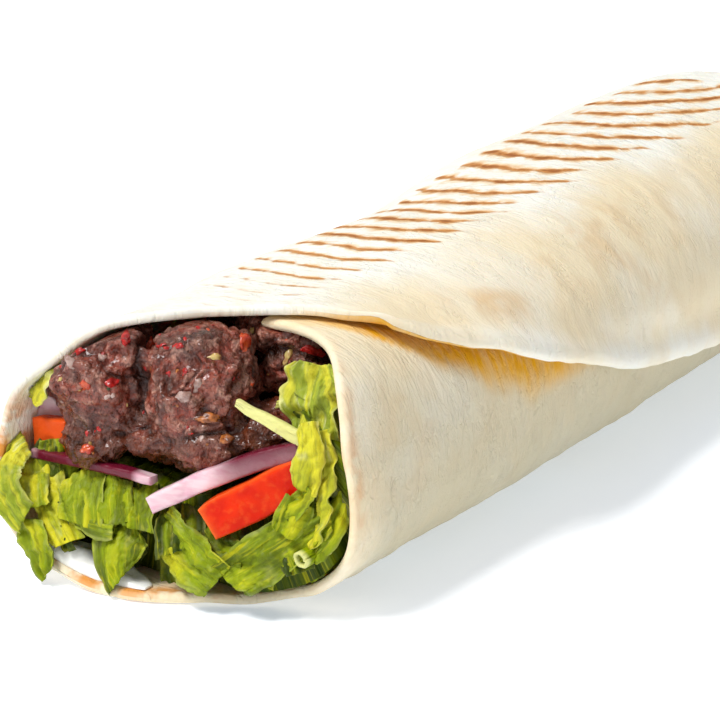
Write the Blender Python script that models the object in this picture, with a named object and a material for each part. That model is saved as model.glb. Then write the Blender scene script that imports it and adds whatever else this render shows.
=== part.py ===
"""Kebab wrap: a round flatbread rolled about minced-meat kebab, lettuce, tomato, onion and white sauce.

The roll lies along Y on a flat strip of its underside, with its open mouth at -Y and its tucked end at +Y.
Sizes are in millimetres. Each mesh is scaled to metres once it is built.
"""

import math

import bmesh
import bpy
import numpy as np
from mathutils import Matrix, Vector, noise

MM = 0.001

# The roll
ROLL_WIDTH = 76.0
ROLL_HEIGHT = 53.0
SECTION_POWER = 2.6
FLATTENED = 0.8
MOUTH_FLARE = 1.5
REAR_NARROWING = 2.6
REAR_LOWERING = 1.1
RIGHT_SHOULDER = 4.2

# The flatbread sheet: its inner edge lies on top, and its outline is nearly a circle
BREAD_THICKNESS = 2.2
LAYER_GAP = 1.0
INNER_EDGE_ANGLE = math.radians(71.0)
SHEET_MIDDLE_ARC = 118.0
SHEET_MIDDLE_Y = 141.0
SHEET_RADIUS_ALONG = 150.0
SHEET_RADIUS_ACROSS = 145.0
CORNER_ARC = 215.0
RIM_FRONT = SHEET_MIDDLE_Y - SHEET_RADIUS_ALONG
RIM_SETBACK = 15.0
RIM_TOP_SETBACK = 3.5

# The tucked end
CAP_START = 217.0
CAP_DEPTH = 13.0
CAP_POWER = 3.4
CAP_SPAN = 36.0
CAP_HOLE = 0.07
CAP_POLE_HEIGHT = 20.0
CAP_DIMPLE = 7.0
PLEATS = 5
PLEAT_DEPTH = 1.6

# The flap's free edge stands off the layer under it
LIFT_DEPTH = 3.2
LIFT_MIDDLE_Y = 62.0
LIFT_REACH_Y = 44.0
LIFT_BAND = 26.0

BREAD_COLUMNS = 48
BREAD_ROWS = 12
CAP_ROWS = 7

# The filling
CLEARANCE = 0.35
BED_FRONT = 2.5
BED_BACK = 204.0
BED_FIRST_ARC = 140.0
BED_LAST_ARC = 30.0
LEAF_THICKNESS = 0.9

COLOURS = {
    "flatbread": ((0.86, 0.77, 0.58), 0.75),
    "meat": ((0.16, 0.075, 0.05), 0.45),
    "lettuce": ((0.30, 0.46, 0.05), 0.45),
    "tomato": ((0.80, 0.09, 0.015), 0.25),
    "onion": ((0.62, 0.33, 0.42), 0.35),
    "sauce": ((0.88, 0.87, 0.80), 0.35),
}


def smoothstep(value):
    """0 below 0, 1 above 1 and a smooth rise between."""
    t = min(1.0, max(0.0, value))
    return t * t * (3 - 2 * t)


def bell(value):
    """1 at 0, and 0 beyond -1 and 1."""
    return smoothstep(1 - abs(value))


def superellipse(angle, half_width, half_height, power=SECTION_POWER):
    c, s = math.cos(angle), math.sin(angle)
    x = half_width * math.copysign(abs(c) ** (2 / power), c)
    z = half_height * math.copysign(abs(s) ** (2 / power), s)
    return x, z


def bumps(point, size, depth, seed):
    """An even field of smooth lumps, from about -depth to depth."""
    return depth * noise.noise(Vector(point) / size + Vector((7.3, 3.1, 5.7)) * seed)


# Scene, collections and materials


def clear_scene():
    for obj in list(bpy.data.objects):
        bpy.data.objects.remove(obj)


def make_collection(name, parent=None):
    collection = bpy.data.collections.new(name)
    (parent or bpy.context.scene.collection).children.link(collection)
    return collection


def make_material(name):
    colour, roughness = COLOURS[name]
    material = bpy.data.materials.new(name)
    material.use_nodes = True
    shader = material.node_tree.nodes["Principled BSDF"]
    shader.inputs["Base Color"].default_value = (*colour, 1.0)
    shader.inputs["Roughness"].default_value = roughness
    shader.inputs["Metallic"].default_value = 0.0
    return material


# The roll's form


def arc_table(steps=1440, turns=1.4):
    """Angles from the sheet's inner edge, clockwise at the mouth, and the arc length to each."""
    angles = INNER_EDGE_ANGLE - np.linspace(0, 2 * math.pi * turns, int(steps * turns))
    points = np.array([superellipse(a, ROLL_WIDTH / 2, ROLL_HEIGHT / 2) for a in angles])
    lengths = np.concatenate([[0], np.cumsum(np.hypot(*np.diff(points, axis=0).T))])
    return angles, lengths


ARC_ANGLES, ARC_LENGTHS = arc_table()
PERIMETER = float(np.interp(2 * math.pi - INNER_EDGE_ANGLE, -ARC_ANGLES, ARC_LENGTHS))


def angle_at(arc):
    return float(np.interp(arc, ARC_LENGTHS, ARC_ANGLES))


def roll_sizes(y):
    """The roll's middle x, half width and half height at y."""
    flare = smoothstep((30 - y) / 40)
    swell = math.sin(math.pi * min(1.0, max(0.0, y / CAP_START)))
    rear = smoothstep((y - 85) / 85)
    half_width = ROLL_WIDTH / 2 + MOUTH_FLARE * flare + 0.6 * swell - REAR_NARROWING * rear
    half_height = ROLL_HEIGHT / 2 + 0.5 * swell - REAR_LOWERING * rear
    return -1.6 * flare - 0.8 * rear, half_width, half_height


def shoulder_dip(angle, y):
    """How far the shoulders sink: the left one sags before the middle, and the right one stands proud at the mouth."""
    degrees = math.degrees(angle) % 360
    left = 1.2 * bell((y - 22) / 35) + 2.4 * bell((y - 55) / 40) + 4.9 * bell((y - 102) / 48)
    right = RIGHT_SHOULDER * smoothstep((44 - y) / 36)
    return left * bell((degrees - 128) / 75) - right * bell((degrees - 52) / 40)


def base_point(arc, station):
    """A point of the first layer's outer face: arc from the inner edge, station along the roll and over its end."""
    angle = angle_at(arc)
    shrink, y = 1.0, station
    if station > CAP_START:
        turn = min(1.0, (station - CAP_START) / CAP_SPAN) * math.pi / 2
        shrink = max(0.0, math.cos(turn)) ** (2 / CAP_POWER) * (1 - CAP_HOLE) + CAP_HOLE
        y = CAP_START + CAP_DEPTH * math.sin(turn) ** (2 / CAP_POWER) - CAP_DIMPLE * (1 - shrink) ** 2
        y += PLEAT_DEPTH * math.sin(PLEATS * angle + 0.8) * 4 * shrink * (1 - shrink)
    middle_x, half_width, half_height = roll_sizes(min(y, CAP_START))
    x, z = superellipse(angle, half_width * shrink, half_height * shrink)
    sink = shoulder_dip(angle, y) * shrink / math.hypot(x, z)
    middle_z = CAP_POLE_HEIGHT + (half_height - FLATTENED - CAP_POLE_HEIGHT) * shrink
    return Vector((middle_x + x * (1 - sink), y, max(0.0, middle_z + z * (1 - sink))))


def base_normal(arc, station, step=0.4):
    last = CAP_START + CAP_SPAN
    ahead = min(last, station + step)
    along = base_point(arc, ahead) - base_point(arc, ahead - 2 * step)
    around = base_point(arc + step, station) - base_point(arc - step, station)
    return around.cross(along).normalized()


def front_rim(arc):
    """The station of the sheet's edge at the mouth."""
    if arc < SHEET_MIDDLE_ARC:
        setback = RIM_SETBACK * smoothstep((98 - arc) / 32) + RIM_TOP_SETBACK * smoothstep((30 - arc) / 25)
        return RIM_FRONT + setback
    share = (arc - SHEET_MIDDLE_ARC) / SHEET_RADIUS_ACROSS
    return SHEET_MIDDLE_Y - SHEET_RADIUS_ALONG * math.sqrt(1 - share * share)


def flap_edge(station):
    """The arc of the flap's free edge at a station."""
    share = (station - SHEET_MIDDLE_Y) / SHEET_RADIUS_ALONG
    return SHEET_MIDDLE_ARC + SHEET_RADIUS_ACROSS * math.sqrt(1 - share * share)


def layer_offset(arc, station):
    """How far the sheet's outer face stands off the first layer's."""
    over = smoothstep((arc - PERIMETER + 62) / 58)
    station = min(CAP_START, max(RIM_FRONT, station))
    near_edge = smoothstep((arc - flap_edge(station) + LIFT_BAND) / LIFT_BAND)
    lift = LIFT_DEPTH * bell((station - LIFT_MIDDLE_Y) / LIFT_REACH_Y) * near_edge
    return over * (BREAD_THICKNESS + LAYER_GAP) + lift


def bread_point(u, v, w):
    """The sheet: u from its inner edge to its free edge, v from mouth to tucked end, w through its thickness."""
    cap_share = CAP_ROWS / (BREAD_ROWS + CAP_ROWS)
    if v <= 1 - cap_share:
        share = v / (1 - cap_share)
        rim, corner = front_rim(u * CORNER_ARC), front_rim(CORNER_ARC)
        station = rim + (CAP_START - rim) * share
        arc = u * flap_edge(corner + (CAP_START - corner) * share)
    else:
        share = (v - 1 + cap_share) / cap_share
        station = CAP_START + CAP_SPAN * (1 - (1 - share) ** 1.6)
        arc = u * flap_edge(CAP_START)
    offset = layer_offset(arc, station) - w * BREAD_THICKNESS
    return base_point(arc, station) + base_normal(arc, station) * offset


# Modelling helpers


def finish_mesh(name, shape, collection, material):
    """Turns a bmesh in millimetres into an object in metres, of triangles so that its grown copy has the same."""
    bmesh.ops.recalc_face_normals(shape, faces=shape.faces)
    bmesh.ops.triangulate(shape, faces=shape.faces)
    bmesh.ops.scale(shape, vec=Vector((MM, MM, MM)), verts=shape.verts)
    mesh = bpy.data.meshes.new(name)
    shape.to_mesh(mesh)
    shape.free()
    mesh.shade_smooth()
    mesh.materials.append(material)
    obj = bpy.data.objects.new(name, mesh)
    collection.objects.link(obj)
    return obj


def slab(columns, rows, point_at):
    """A closed sheet: both faces of a flat grid go to point_at(u, v, w), with w 0 on one face and 1 on the other."""
    shape = bmesh.new()
    bmesh.ops.create_grid(shape, x_segments=columns, y_segments=rows, size=0.5)
    new = bmesh.ops.extrude_face_region(shape, geom=shape.faces[:], use_keep_orig=True)["geom"]
    raised = [item for item in new if isinstance(item, bmesh.types.BMVert)]
    bmesh.ops.translate(shape, vec=Vector((0, 0, 1)), verts=raised)
    for vert in shape.verts:
        vert.co = point_at(vert.co.x + 0.5, vert.co.y + 0.5, vert.co.z)
    return shape


def lump(middle, radii, seed, fineness):
    """A lump of minced meat: an uneven ellipsoid."""
    shape = bmesh.new()
    bmesh.ops.create_icosphere(shape, subdivisions=fineness, radius=1.0)
    for vert in shape.verts:
        reach = Vector([a * r for a, r in zip(vert.co, radii)])
        point = Vector(middle) + reach
        vert.co = Vector(middle) + reach * (1 + bumps(point, 9.0, 0.20, seed) + bumps(point, 4.5, 0.09, seed + 3))
    return shape


def apply_modifiers(obj):
    graph = bpy.context.evaluated_depsgraph_get()
    mesh = bpy.data.meshes.new_from_object(obj.evaluated_get(graph))
    obj.modifiers.clear()
    obj.data = mesh
    return obj


def lighten(obj, share):
    """Keeps this share of the triangles."""
    decimate = obj.modifiers.new("lighten", "DECIMATE")
    decimate.ratio = share
    return apply_modifiers(obj)


def join_pieces(name, shapes, collection, cutters, material, solver="EXACT"):
    """Fuses closed shapes into one object by a single Boolean union."""
    first = finish_mesh(name, shapes[0], collection, material)
    home = make_collection(name + "_pieces", cutters)
    for shape in shapes[1:]:
        piece = finish_mesh(name + "_piece", shape, home, material)
        piece.hide_render = True
        piece.display_type = "WIRE"
    union = first.modifiers.new("union", "BOOLEAN")
    union.operation = "UNION"
    union.operand_type = "COLLECTION"
    union.collection = home
    union.solver = solver
    apply_modifiers(first)
    for piece in list(home.objects):
        bpy.data.objects.remove(piece)
    return first


def cut_clear_of(obj, neighbours, cutters, solver="EXACT"):
    """Cuts each neighbour, grown by the clearance, out of an object."""
    for neighbour in neighbours:
        grown = neighbour.copy()
        grown.data = neighbour.data.copy()
        grown.hide_render = True
        grown.display_type = "WIRE"
        cutters.objects.link(grown)
        swell = grown.modifiers.new("clearance", "DISPLACE")
        swell.strength = CLEARANCE * MM
        swell.mid_level = 0.0
        apply_modifiers(grown)
        cut = obj.modifiers.new("clear", "BOOLEAN")
        cut.operation = "DIFFERENCE"
        cut.object = grown
        cut.solver = solver
        apply_modifiers(obj)
        bpy.data.objects.remove(grown)
    return keep_largest(obj)


def islands_of(shape):
    """Groups of faces that are joined along plain edges, where two faces meet."""
    left, islands = set(shape.faces), []
    while left:
        front = [left.pop()]
        island = set(front)
        while front:
            plain = [edge for edge in front.pop().edges if len(edge.link_faces) == 2]
            fresh = {face for edge in plain for face in edge.link_faces} & left
            left -= fresh
            island |= fresh
            front.extend(fresh)
        islands.append(island)
    return islands


def keep_largest(obj):
    """Drops the loose scraps that a cut leaves."""
    shape = bmesh.new()
    shape.from_mesh(obj.data)
    islands = islands_of(shape)
    largest = max(islands, key=len)
    scraps = [face for island in islands if island is not largest for face in island]
    bmesh.ops.delete(shape, geom=scraps, context="FACES")
    shape.to_mesh(obj.data)
    shape.free()
    obj.data.shade_smooth()
    return obj


# Kebab


FRONT_KEBAB_LUMPS = [
    ((-20.5, 9.0, 36.0), (12.5, 13.5, 13.0), 1, 4),
    ((0.5, 11.5, 36.5), (12.5, 13.0, 14.0), 2, 4),
    ((-22.5, 3.5, 27.5), (7.5, 8.0, 5.5), 3, 3),
    ((3.0, 8.0, 28.5), (9.5, 9.5, 6.5), 4, 3),
    ((13.5, 15.0, 31.5), (9.5, 10.0, 6.0), 5, 3),
]
REAR_KEBAB_FIRST = ((12.0, 35.0, 41.5), (12.0, 17.0, 8.5), 6, 3)
REAR_KEBAB_RIDGES = 7
REAR_KEBAB_PITCH = 23.5


def rear_kebab_lumps():
    """The lump that shows behind on the right, then finger-pressed ridges through the roll."""
    lumps = [REAR_KEBAB_FIRST]
    for ridge in range(REAR_KEBAB_RIDGES):
        middle = (-1.0 + 1.5 * math.sin(ridge * 1.7), 45.0 + REAR_KEBAB_PITCH * ridge, 35.5)
        lumps.append((middle, (22.0 - 0.4 * ridge, 16.0, 11.5), 7 + ridge, 3 if ridge < 1 else 2))
    return lumps


# Cut vegetables


def bar(start, end, height, depth, bow=0.0, taper=0.0, seed=0, columns=6, rows=2):
    """A straight or bowed bar of cut vegetable: its near face looks to the mouth, and it reaches back from it."""
    start, end = Vector(start), Vector(end)
    along = (end - start).normalized()
    up = (Vector((0, 0, 1)) - along * along.z).normalized()
    back = along.cross(up)
    back = back if back.y > 0 else -back

    def point_at(u, v, w):
        width = height * (1 - taper * (1 - u)) * (1 - 0.12 * (2 * u - 1) ** 4)
        eased = (v - 0.5) * width * (1 - 0.16 * w)
        point = start + (end - start) * u + up * (eased + bow * 4 * u * (1 - u)) + back * w * depth
        return point + back * bumps((u * 9, v * 3, w), 2.0, 0.35, seed)

    return slab(columns, rows, point_at)


def leaf(root, tip, width, turn=0.0, cup=0.0, bow=0.0, wave=0.6, taper=0.3, seed=0, columns=4, rows=5):
    """A thin wavy leaf from root to tip. Its face looks to the mouth, turned about its length by turn degrees."""
    root, tip = Vector(root), Vector(tip)
    along = (tip - root).normalized()
    outward = Vector((0, -1, 0.25))
    front = Matrix.Rotation(math.radians(turn), 3, along) @ (outward - along * along.dot(outward)).normalized()
    side = along.cross(front)

    def point_at(u, v, w):
        across = (u - 0.5) * width * (1 - taper * (2 * v - 1) ** 2)
        ripple = wave * math.sin(2.2 * math.pi * u + 1.9 * seed) * (0.4 + 0.6 * v)
        ripple += 0.5 * wave * math.sin(5.0 * v + 2.3 * seed + 2.0 * u)
        rise = cup * (1 - (2 * u - 1) ** 2) + bow * 4 * v * (1 - v) + ripple
        ragged = 0.06 * (tip - root).length * math.sin(3.4 * math.pi * u + seed)
        middle = root + (tip - root) * v + along * ragged * (v - 0.3)
        return middle + side * across + front * (rise - w * LEAF_THICKNESS)

    return slab(columns, rows, point_at)


def ring(middle, axis, radius, length, hole, sides=12):
    """A curled-up shred, seen end on: a short open tube."""
    middle, axis = Vector(middle), Vector(axis).normalized()
    up = (Vector((0, 0, 1)) - axis * axis.z).normalized()
    side = axis.cross(up)
    shape = bmesh.new()
    loops = []
    for reach, depth in ((radius, 0.0), (radius, length), (hole, length), (hole, 0.0)):
        turns = [2 * math.pi * k / sides for k in range(sides)]
        spokes = [up * math.sin(turn) + side * math.cos(turn) for turn in turns]
        loops.append([shape.verts.new(middle + axis * depth + spoke * reach) for spoke in spokes])
    for k in range(4):
        near, far = loops[k], loops[(k + 1) % 4]
        for n in range(sides):
            m = (n + 1) % sides
            shape.faces.new((near[n], near[m], far[m], far[n]))
    return shape


# Lettuce


def bed_point(u, v, w):
    """The bed of shredded lettuce, under the kebab and up the right side, from the mouth to the tucked end."""
    arc = BED_FIRST_ARC + (BED_LAST_ARC - BED_FIRST_ARC) * u
    ragged = bumps((u * 20, 0, w * 6), 1.6, 3.0, 31) * (1 - v)
    y = BED_FRONT + (BED_BACK - BED_FRONT) * v + ragged + 2.5 * smoothstep((u - 0.6) / 0.3)
    outer = base_point(arc, y) - base_normal(arc, y) * (BREAD_THICKNESS + 0.6)
    x, z = superellipse(angle_at(arc), 25.5, 15.5)
    inner = Vector((-1.0 + x, y, 36.0 + z))
    lumpy = bumps((u * 30, y, 0), 9.0, 1.3, 32)
    reach = inner - outer
    return outer + reach * w * (1 + lumpy / max(4.0, reach.length))


LEAVES = [
    {"root": (-37.0, 0.5, 23.0), "tip": (-36.5, -7.0, 11.5), "width": 6.5, "turn": -18, "cup": 0.8, "seed": 1},
    {"root": (-34.0, 1.5, 22.0), "tip": (-32.5, -6.0, 12.0), "width": 6.5, "turn": 12, "cup": 0.8, "seed": 2},
    {"root": (-29.5, 1.0, 21.0), "tip": (-25.5, -7.0, 7.5), "width": 7.5, "turn": -8, "cup": 1.2, "seed": 3},
    {"root": (-21.0, 2.0, 22.0), "tip": (-22.5, -5.0, 13.5), "width": 8.0, "turn": 6, "cup": 1.2, "seed": 4},
    {"root": (-14.5, 2.0, 21.5), "tip": (-15.0, -5.0, 13.0), "width": 6.0, "turn": -10, "cup": 0.8, "seed": 5},
    {"root": (-8.8, 3.0, 21.0), "tip": (-8.3, -5.5, 14.0), "width": 6.5, "turn": 8, "cup": 0.8, "seed": 6},
    {"root": (-12.5, -1.0, 15.5), "tip": (-11.0, -7.3, 5.0), "width": 11.5, "turn": 4, "cup": 1.6, "seed": 7},
    {"root": (1.5, 1.0, 18.5), "tip": (-0.5, -4.5, 10.5), "width": 9.0, "turn": -12, "cup": 1.0, "seed": 8},
    {"root": (-2.5, 0.5, 15.0), "tip": (9.5, -6.3, 5.6), "width": 8.5, "turn": 10, "cup": 1.3, "seed": 9},
    {"root": (31.0, 5.5, 22.5), "tip": (14.5, -4.0, 6.8), "width": 8.5, "turn": -6, "cup": 1.6, "bow": 1.0, "seed": 10},
    {"root": (30.5, 6.0, 35.0), "tip": (31.5, 2.0, 20.0), "width": 4.0, "turn": 10, "cup": 0.5, "seed": 11},
    {"root": (33.0, 8.0, 27.0), "tip": (30.0, 1.5, 13.5), "width": 3.8, "turn": -14, "cup": 0.5, "seed": 12},
    {"root": (25.5, 12.0, 47.5), "tip": (28.0, 8.0, 33.5), "width": 9.5, "turn": 6, "cup": 1.8, "wave": 1.0, "seed": 13},
    {"root": (28.5, 4.0, 41.0), "tip": (29.3, 1.5, 27.5), "width": 6.6, "turn": -6, "cup": 1.3, "bow": 1.2, "seed": 14},
    {"root": (-30.5, -5.5, 12.5), "tip": (-27.3, -10.9, 2.0), "width": 5.5, "turn": 12, "cup": 0.6, "bow": 2.6, "seed": 15},
]
LEAF_RIB = {"start": (10.6, 2.5, 40.6), "end": (26.4, 3.2, 36.3), "height": 3.0, "depth": 1.8, "taper": 0.35, "seed": 4}
LEAF_CURL = {"start": (14.5, 8.0, 39.0), "end": (26.0, 8.6, 37.2), "height": 1.6, "depth": 1.4, "bow": 1.6, "seed": 5}
LETTUCE_RING = {"middle": (26.5, 1.5, 12.4), "axis": (0.3, 1.0, 0.2), "radius": 2.1, "length": 7.0, "hole": 1.1}
LETTUCE_SLIVER = {
    "root": (-29.5, 2.0, 43.5),
    "tip": (-34.5, -0.5, 34.0),
    "width": 3.2,
    "turn": 38,
    "cup": 0.5,
    "wave": 0.3,
    "seed": 16,
}

TOMATO_RIGHT = {"start": (8.6, -5.6, 17.9), "end": (27.2, 2.4, 29.8), "height": 7.8, "depth": 6.0, "seed": 1}
TOMATO_LEFT = {"start": (-36.0, 1.6, 24.9), "end": (-28.5, 1.2, 25.3), "height": 6.0, "depth": 5.0, "seed": 2}
TOMATO_FAR = {"start": (31.6, 9.0, 25.5), "end": (30.6, 9.5, 36.0), "height": 4.2, "depth": 5.0, "seed": 3}
ONION_RIGHT = {"start": (-5.0, -5.4, 19.0), "end": (24.4, 3.0, 33.6), "height": 3.9, "depth": 4.0, "bow": 0.9, "seed": 6}
ONION_LEFT = {"start": (-35.5, -1.8, 22.9), "end": (-6.5, -2.6, 23.1), "height": 2.6, "depth": 3.0, "bow": 0.3, "seed": 7}
ONION_FAR = {"start": (-37.6, 4.0, 25.0), "end": (-33.5, 4.4, 32.5), "height": 6.0, "depth": 1.3, "seed": 8}


def sauce_point(u, v, w):
    """White sauce on the bread, under the lettuce at the mouth."""
    arc = 121.0 - 24.0 * u
    y = front_rim(arc) + 1.6 + 9.0 * v + bumps((u * 9, v, 0), 2.0, 1.2, 41)
    level = 0.4 + w * (0.5 + 1.9 * math.sin(math.pi * (0.08 + 0.84 * u)) * math.sin(math.pi * (0.12 + 0.8 * v)))
    return base_point(arc, y) - base_normal(arc, y) * (BREAD_THICKNESS + level)


def stand_on_origin(objects):
    """Moves the wrap so that its box has its bottom middle at the origin."""
    points = [vert.co for obj in objects for vert in obj.data.vertices]
    low = Vector([min(p[k] for p in points) for k in range(3)])
    high = Vector([max(p[k] for p in points) for k in range(3)])
    shift = -Vector(((low.x + high.x) / 2, (low.y + high.y) / 2, low.z))
    for obj in objects:
        obj.data.transform(Matrix.Translation(shift))


def main():
    clear_scene()
    wrap = make_collection("kebab_wrap")
    cutters = make_collection("cutters")
    materials = {name: make_material(name) for name in COLOURS}

    bread_shape = slab(BREAD_COLUMNS, BREAD_ROWS + CAP_ROWS, bread_point)
    bread = finish_mesh("flatbread", bread_shape, wrap, materials["flatbread"])

    front_shapes = [lump(*values) for values in FRONT_KEBAB_LUMPS]
    front_kebab = join_pieces("kebab_front", front_shapes, wrap, cutters, materials["meat"])
    cut_clear_of(lighten(front_kebab, 0.6), [bread], cutters)
    rear_shapes = [lump(*values) for values in rear_kebab_lumps()]
    rear_kebab = join_pieces("kebab_rear", rear_shapes, wrap, cutters, materials["meat"])
    cut_clear_of(rear_kebab, [bread, front_kebab], cutters)

    placed = [bread, front_kebab, rear_kebab]
    slices = {
        "tomato_right": (TOMATO_RIGHT, "tomato"),
        "onion_right": (ONION_RIGHT, "onion"),
        "tomato_left": (TOMATO_LEFT, "tomato"),
        "onion_left": (ONION_LEFT, "onion"),
        "tomato_far_right": (TOMATO_FAR, "tomato"),
        "onion_far_left": (ONION_FAR, "onion"),
    }
    for name, (sizes, finish) in slices.items():
        piece = finish_mesh(name, bar(**sizes), wrap, materials[finish])
        placed.append(cut_clear_of(piece, placed, cutters))

    sauce = finish_mesh("sauce", slab(8, 4, sauce_point), wrap, materials["sauce"])
    placed.append(sauce)
    sliver = finish_mesh("lettuce_sliver", leaf(**LETTUCE_SLIVER), wrap, materials["lettuce"])
    placed.append(cut_clear_of(sliver, placed, cutters))

    shapes = [slab(16, 8, bed_point)]
    shapes += [leaf(**values) for values in LEAVES]
    shapes += [bar(**LEAF_RIB), bar(**LEAF_CURL), ring(**LETTUCE_RING)]
    lettuce = join_pieces("lettuce", shapes, wrap, cutters, materials["lettuce"], solver="MANIFOLD")
    placed.append(cut_clear_of(lettuce, placed, cutters, solver="MANIFOLD"))

    bpy.data.collections.remove(cutters)
    stand_on_origin(placed)


main()
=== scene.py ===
"""Looks of a kebab wrap: a flatbread rolled about minced kebab, salad and white sauce.

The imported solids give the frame. Each piece here repeats the formulas of the part's source at a finer
grain and stands for its own solid. Sizes are in millimetres in the roll's working frame, whose open mouth
looks along -Y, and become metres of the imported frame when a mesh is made.
"""

import logging
import math
from dataclasses import dataclass, field
from enum import Enum
from itertools import product

import bmesh
import bpy
import numpy as np
from mathutils import Matrix, Vector, noise
from mathutils.bvhtree import BVHTree


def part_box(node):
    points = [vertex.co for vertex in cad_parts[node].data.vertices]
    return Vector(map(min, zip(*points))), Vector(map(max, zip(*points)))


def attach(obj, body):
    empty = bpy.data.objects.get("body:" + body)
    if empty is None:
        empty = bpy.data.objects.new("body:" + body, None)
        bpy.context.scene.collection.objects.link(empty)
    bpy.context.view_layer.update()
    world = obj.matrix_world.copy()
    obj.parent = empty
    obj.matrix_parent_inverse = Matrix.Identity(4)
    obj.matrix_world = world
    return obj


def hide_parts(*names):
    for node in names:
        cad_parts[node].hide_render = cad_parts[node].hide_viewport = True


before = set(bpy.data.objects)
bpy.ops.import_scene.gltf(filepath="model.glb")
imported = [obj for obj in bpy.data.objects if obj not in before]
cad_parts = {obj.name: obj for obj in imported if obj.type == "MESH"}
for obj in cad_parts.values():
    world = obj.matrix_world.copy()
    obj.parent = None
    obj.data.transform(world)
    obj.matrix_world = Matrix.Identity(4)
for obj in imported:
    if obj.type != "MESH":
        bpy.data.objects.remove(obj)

MM = 0.001
LOG = logging.getLogger("kebab_wrap")

Colour = tuple[int, int, int]
Place = tuple[float, float, float]
Socket = bpy.types.NodeSocket
Array = np.ndarray


def smoothstep(value: Array | float) -> Array:
    """Gives 0 below 0, 1 above 1 and a smooth rise between."""
    t = np.clip(value, 0.0, 1.0)
    return t * t * (3 - 2 * t)


def bell(value: Array | float) -> Array:
    """Gives 1 at 0, and 0 beyond -1 and 1."""
    return smoothstep(1 - np.abs(value))


def hump(value: Array, middle: float, width: float) -> Array:
    """Gives 1 at the middle, with a long soft fall to 0 on both sides."""
    return np.exp(-(((value - middle) / width) ** 2))


def rounded(depth: Array, radius: float) -> Array:
    """Gives how full a rounded edge is at a depth from it, from 0 at the edge to 1 inside."""
    return np.sqrt(np.clip(1 - (1 - np.minimum(depth, radius) / radius) ** 2, 0, 1))


def superellipse(
    angle: Array, half_width: Array, half_height: Array, power: float = 2.6
) -> tuple[Array, Array]:
    """Gives the points of a rounded box outline.

    Args:
        angle: The angles round the outline, in radians.
        half_width: Half of its width.
        half_height: Half of its height.
        power: How square it is, from 2 for an ellipse.

    Returns:
        The x and z of each point.
    """
    c, s = np.cos(angle), np.sin(angle)
    x = half_width * np.sign(c) * np.abs(c) ** (2 / power)
    z = half_height * np.sign(s) * np.abs(s) ** (2 / power)
    return x, z


def linear(colour: Colour) -> tuple[float, float, float, float]:
    """Gives a screen colour of 0 to 255 as the linear colour that a shader takes."""
    channels = [c / 255 for c in colour]
    red, green, blue = (c / 12.92 if c < 0.04045 else ((c + 0.055) / 1.055) ** 2.4 for c in channels)
    return red, green, blue, 1.0


class GradientNoise:
    """A smooth, even, seeded field of lumps over points, from about -1 to 1."""

    def __init__(self, seed: int) -> None:
        """Draws the field's slopes.

        Args:
            seed: The seed of the draw.
        """
        draw = np.random.default_rng(seed)
        slopes = draw.normal(size=(256, 3))
        self.order = np.tile(draw.permutation(256), 2)
        self.slopes = slopes / np.linalg.norm(slopes, axis=1, keepdims=True)

    def at(self, points: Array, size: float | Place) -> Array:
        """Reads the field.

        Args:
            points: The places, as an array whose last axis is x, y and z.
            size: The size of a lump, or its size along each axis.

        Returns:
            The field's value at each place.
        """
        scaled = points / np.asarray(size)
        cell = np.floor(scaled).astype(int)
        inside = scaled - cell
        fade = inside**3 * (inside * (inside * 6 - 15) + 10)
        total = np.zeros(points.shape[:-1])
        for corner in product((0, 1), repeat=3):
            step = np.array(corner)
            key = (cell + step) & 255
            index = self.order[self.order[self.order[key[..., 0]] + key[..., 1]] + key[..., 2]]
            lean = ((inside - step) * self.slopes[index]).sum(-1)
            total += lean * np.prod(np.where(step == 1, fade, 1 - fade), axis=-1)
        return 1.6 * total


def stack(x: Array | float, y: Array | float, z: Array | float) -> Array:
    """Joins coordinates into points, spreading single numbers over the rest."""
    return np.stack(np.broadcast_arrays(x, y, z), axis=-1).astype(float)


def unit(vectors: Array) -> Array:
    """Gives vectors of length one."""
    return vectors / np.maximum(1e-9, np.linalg.norm(vectors, axis=-1, keepdims=True))


# The roll's form


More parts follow.
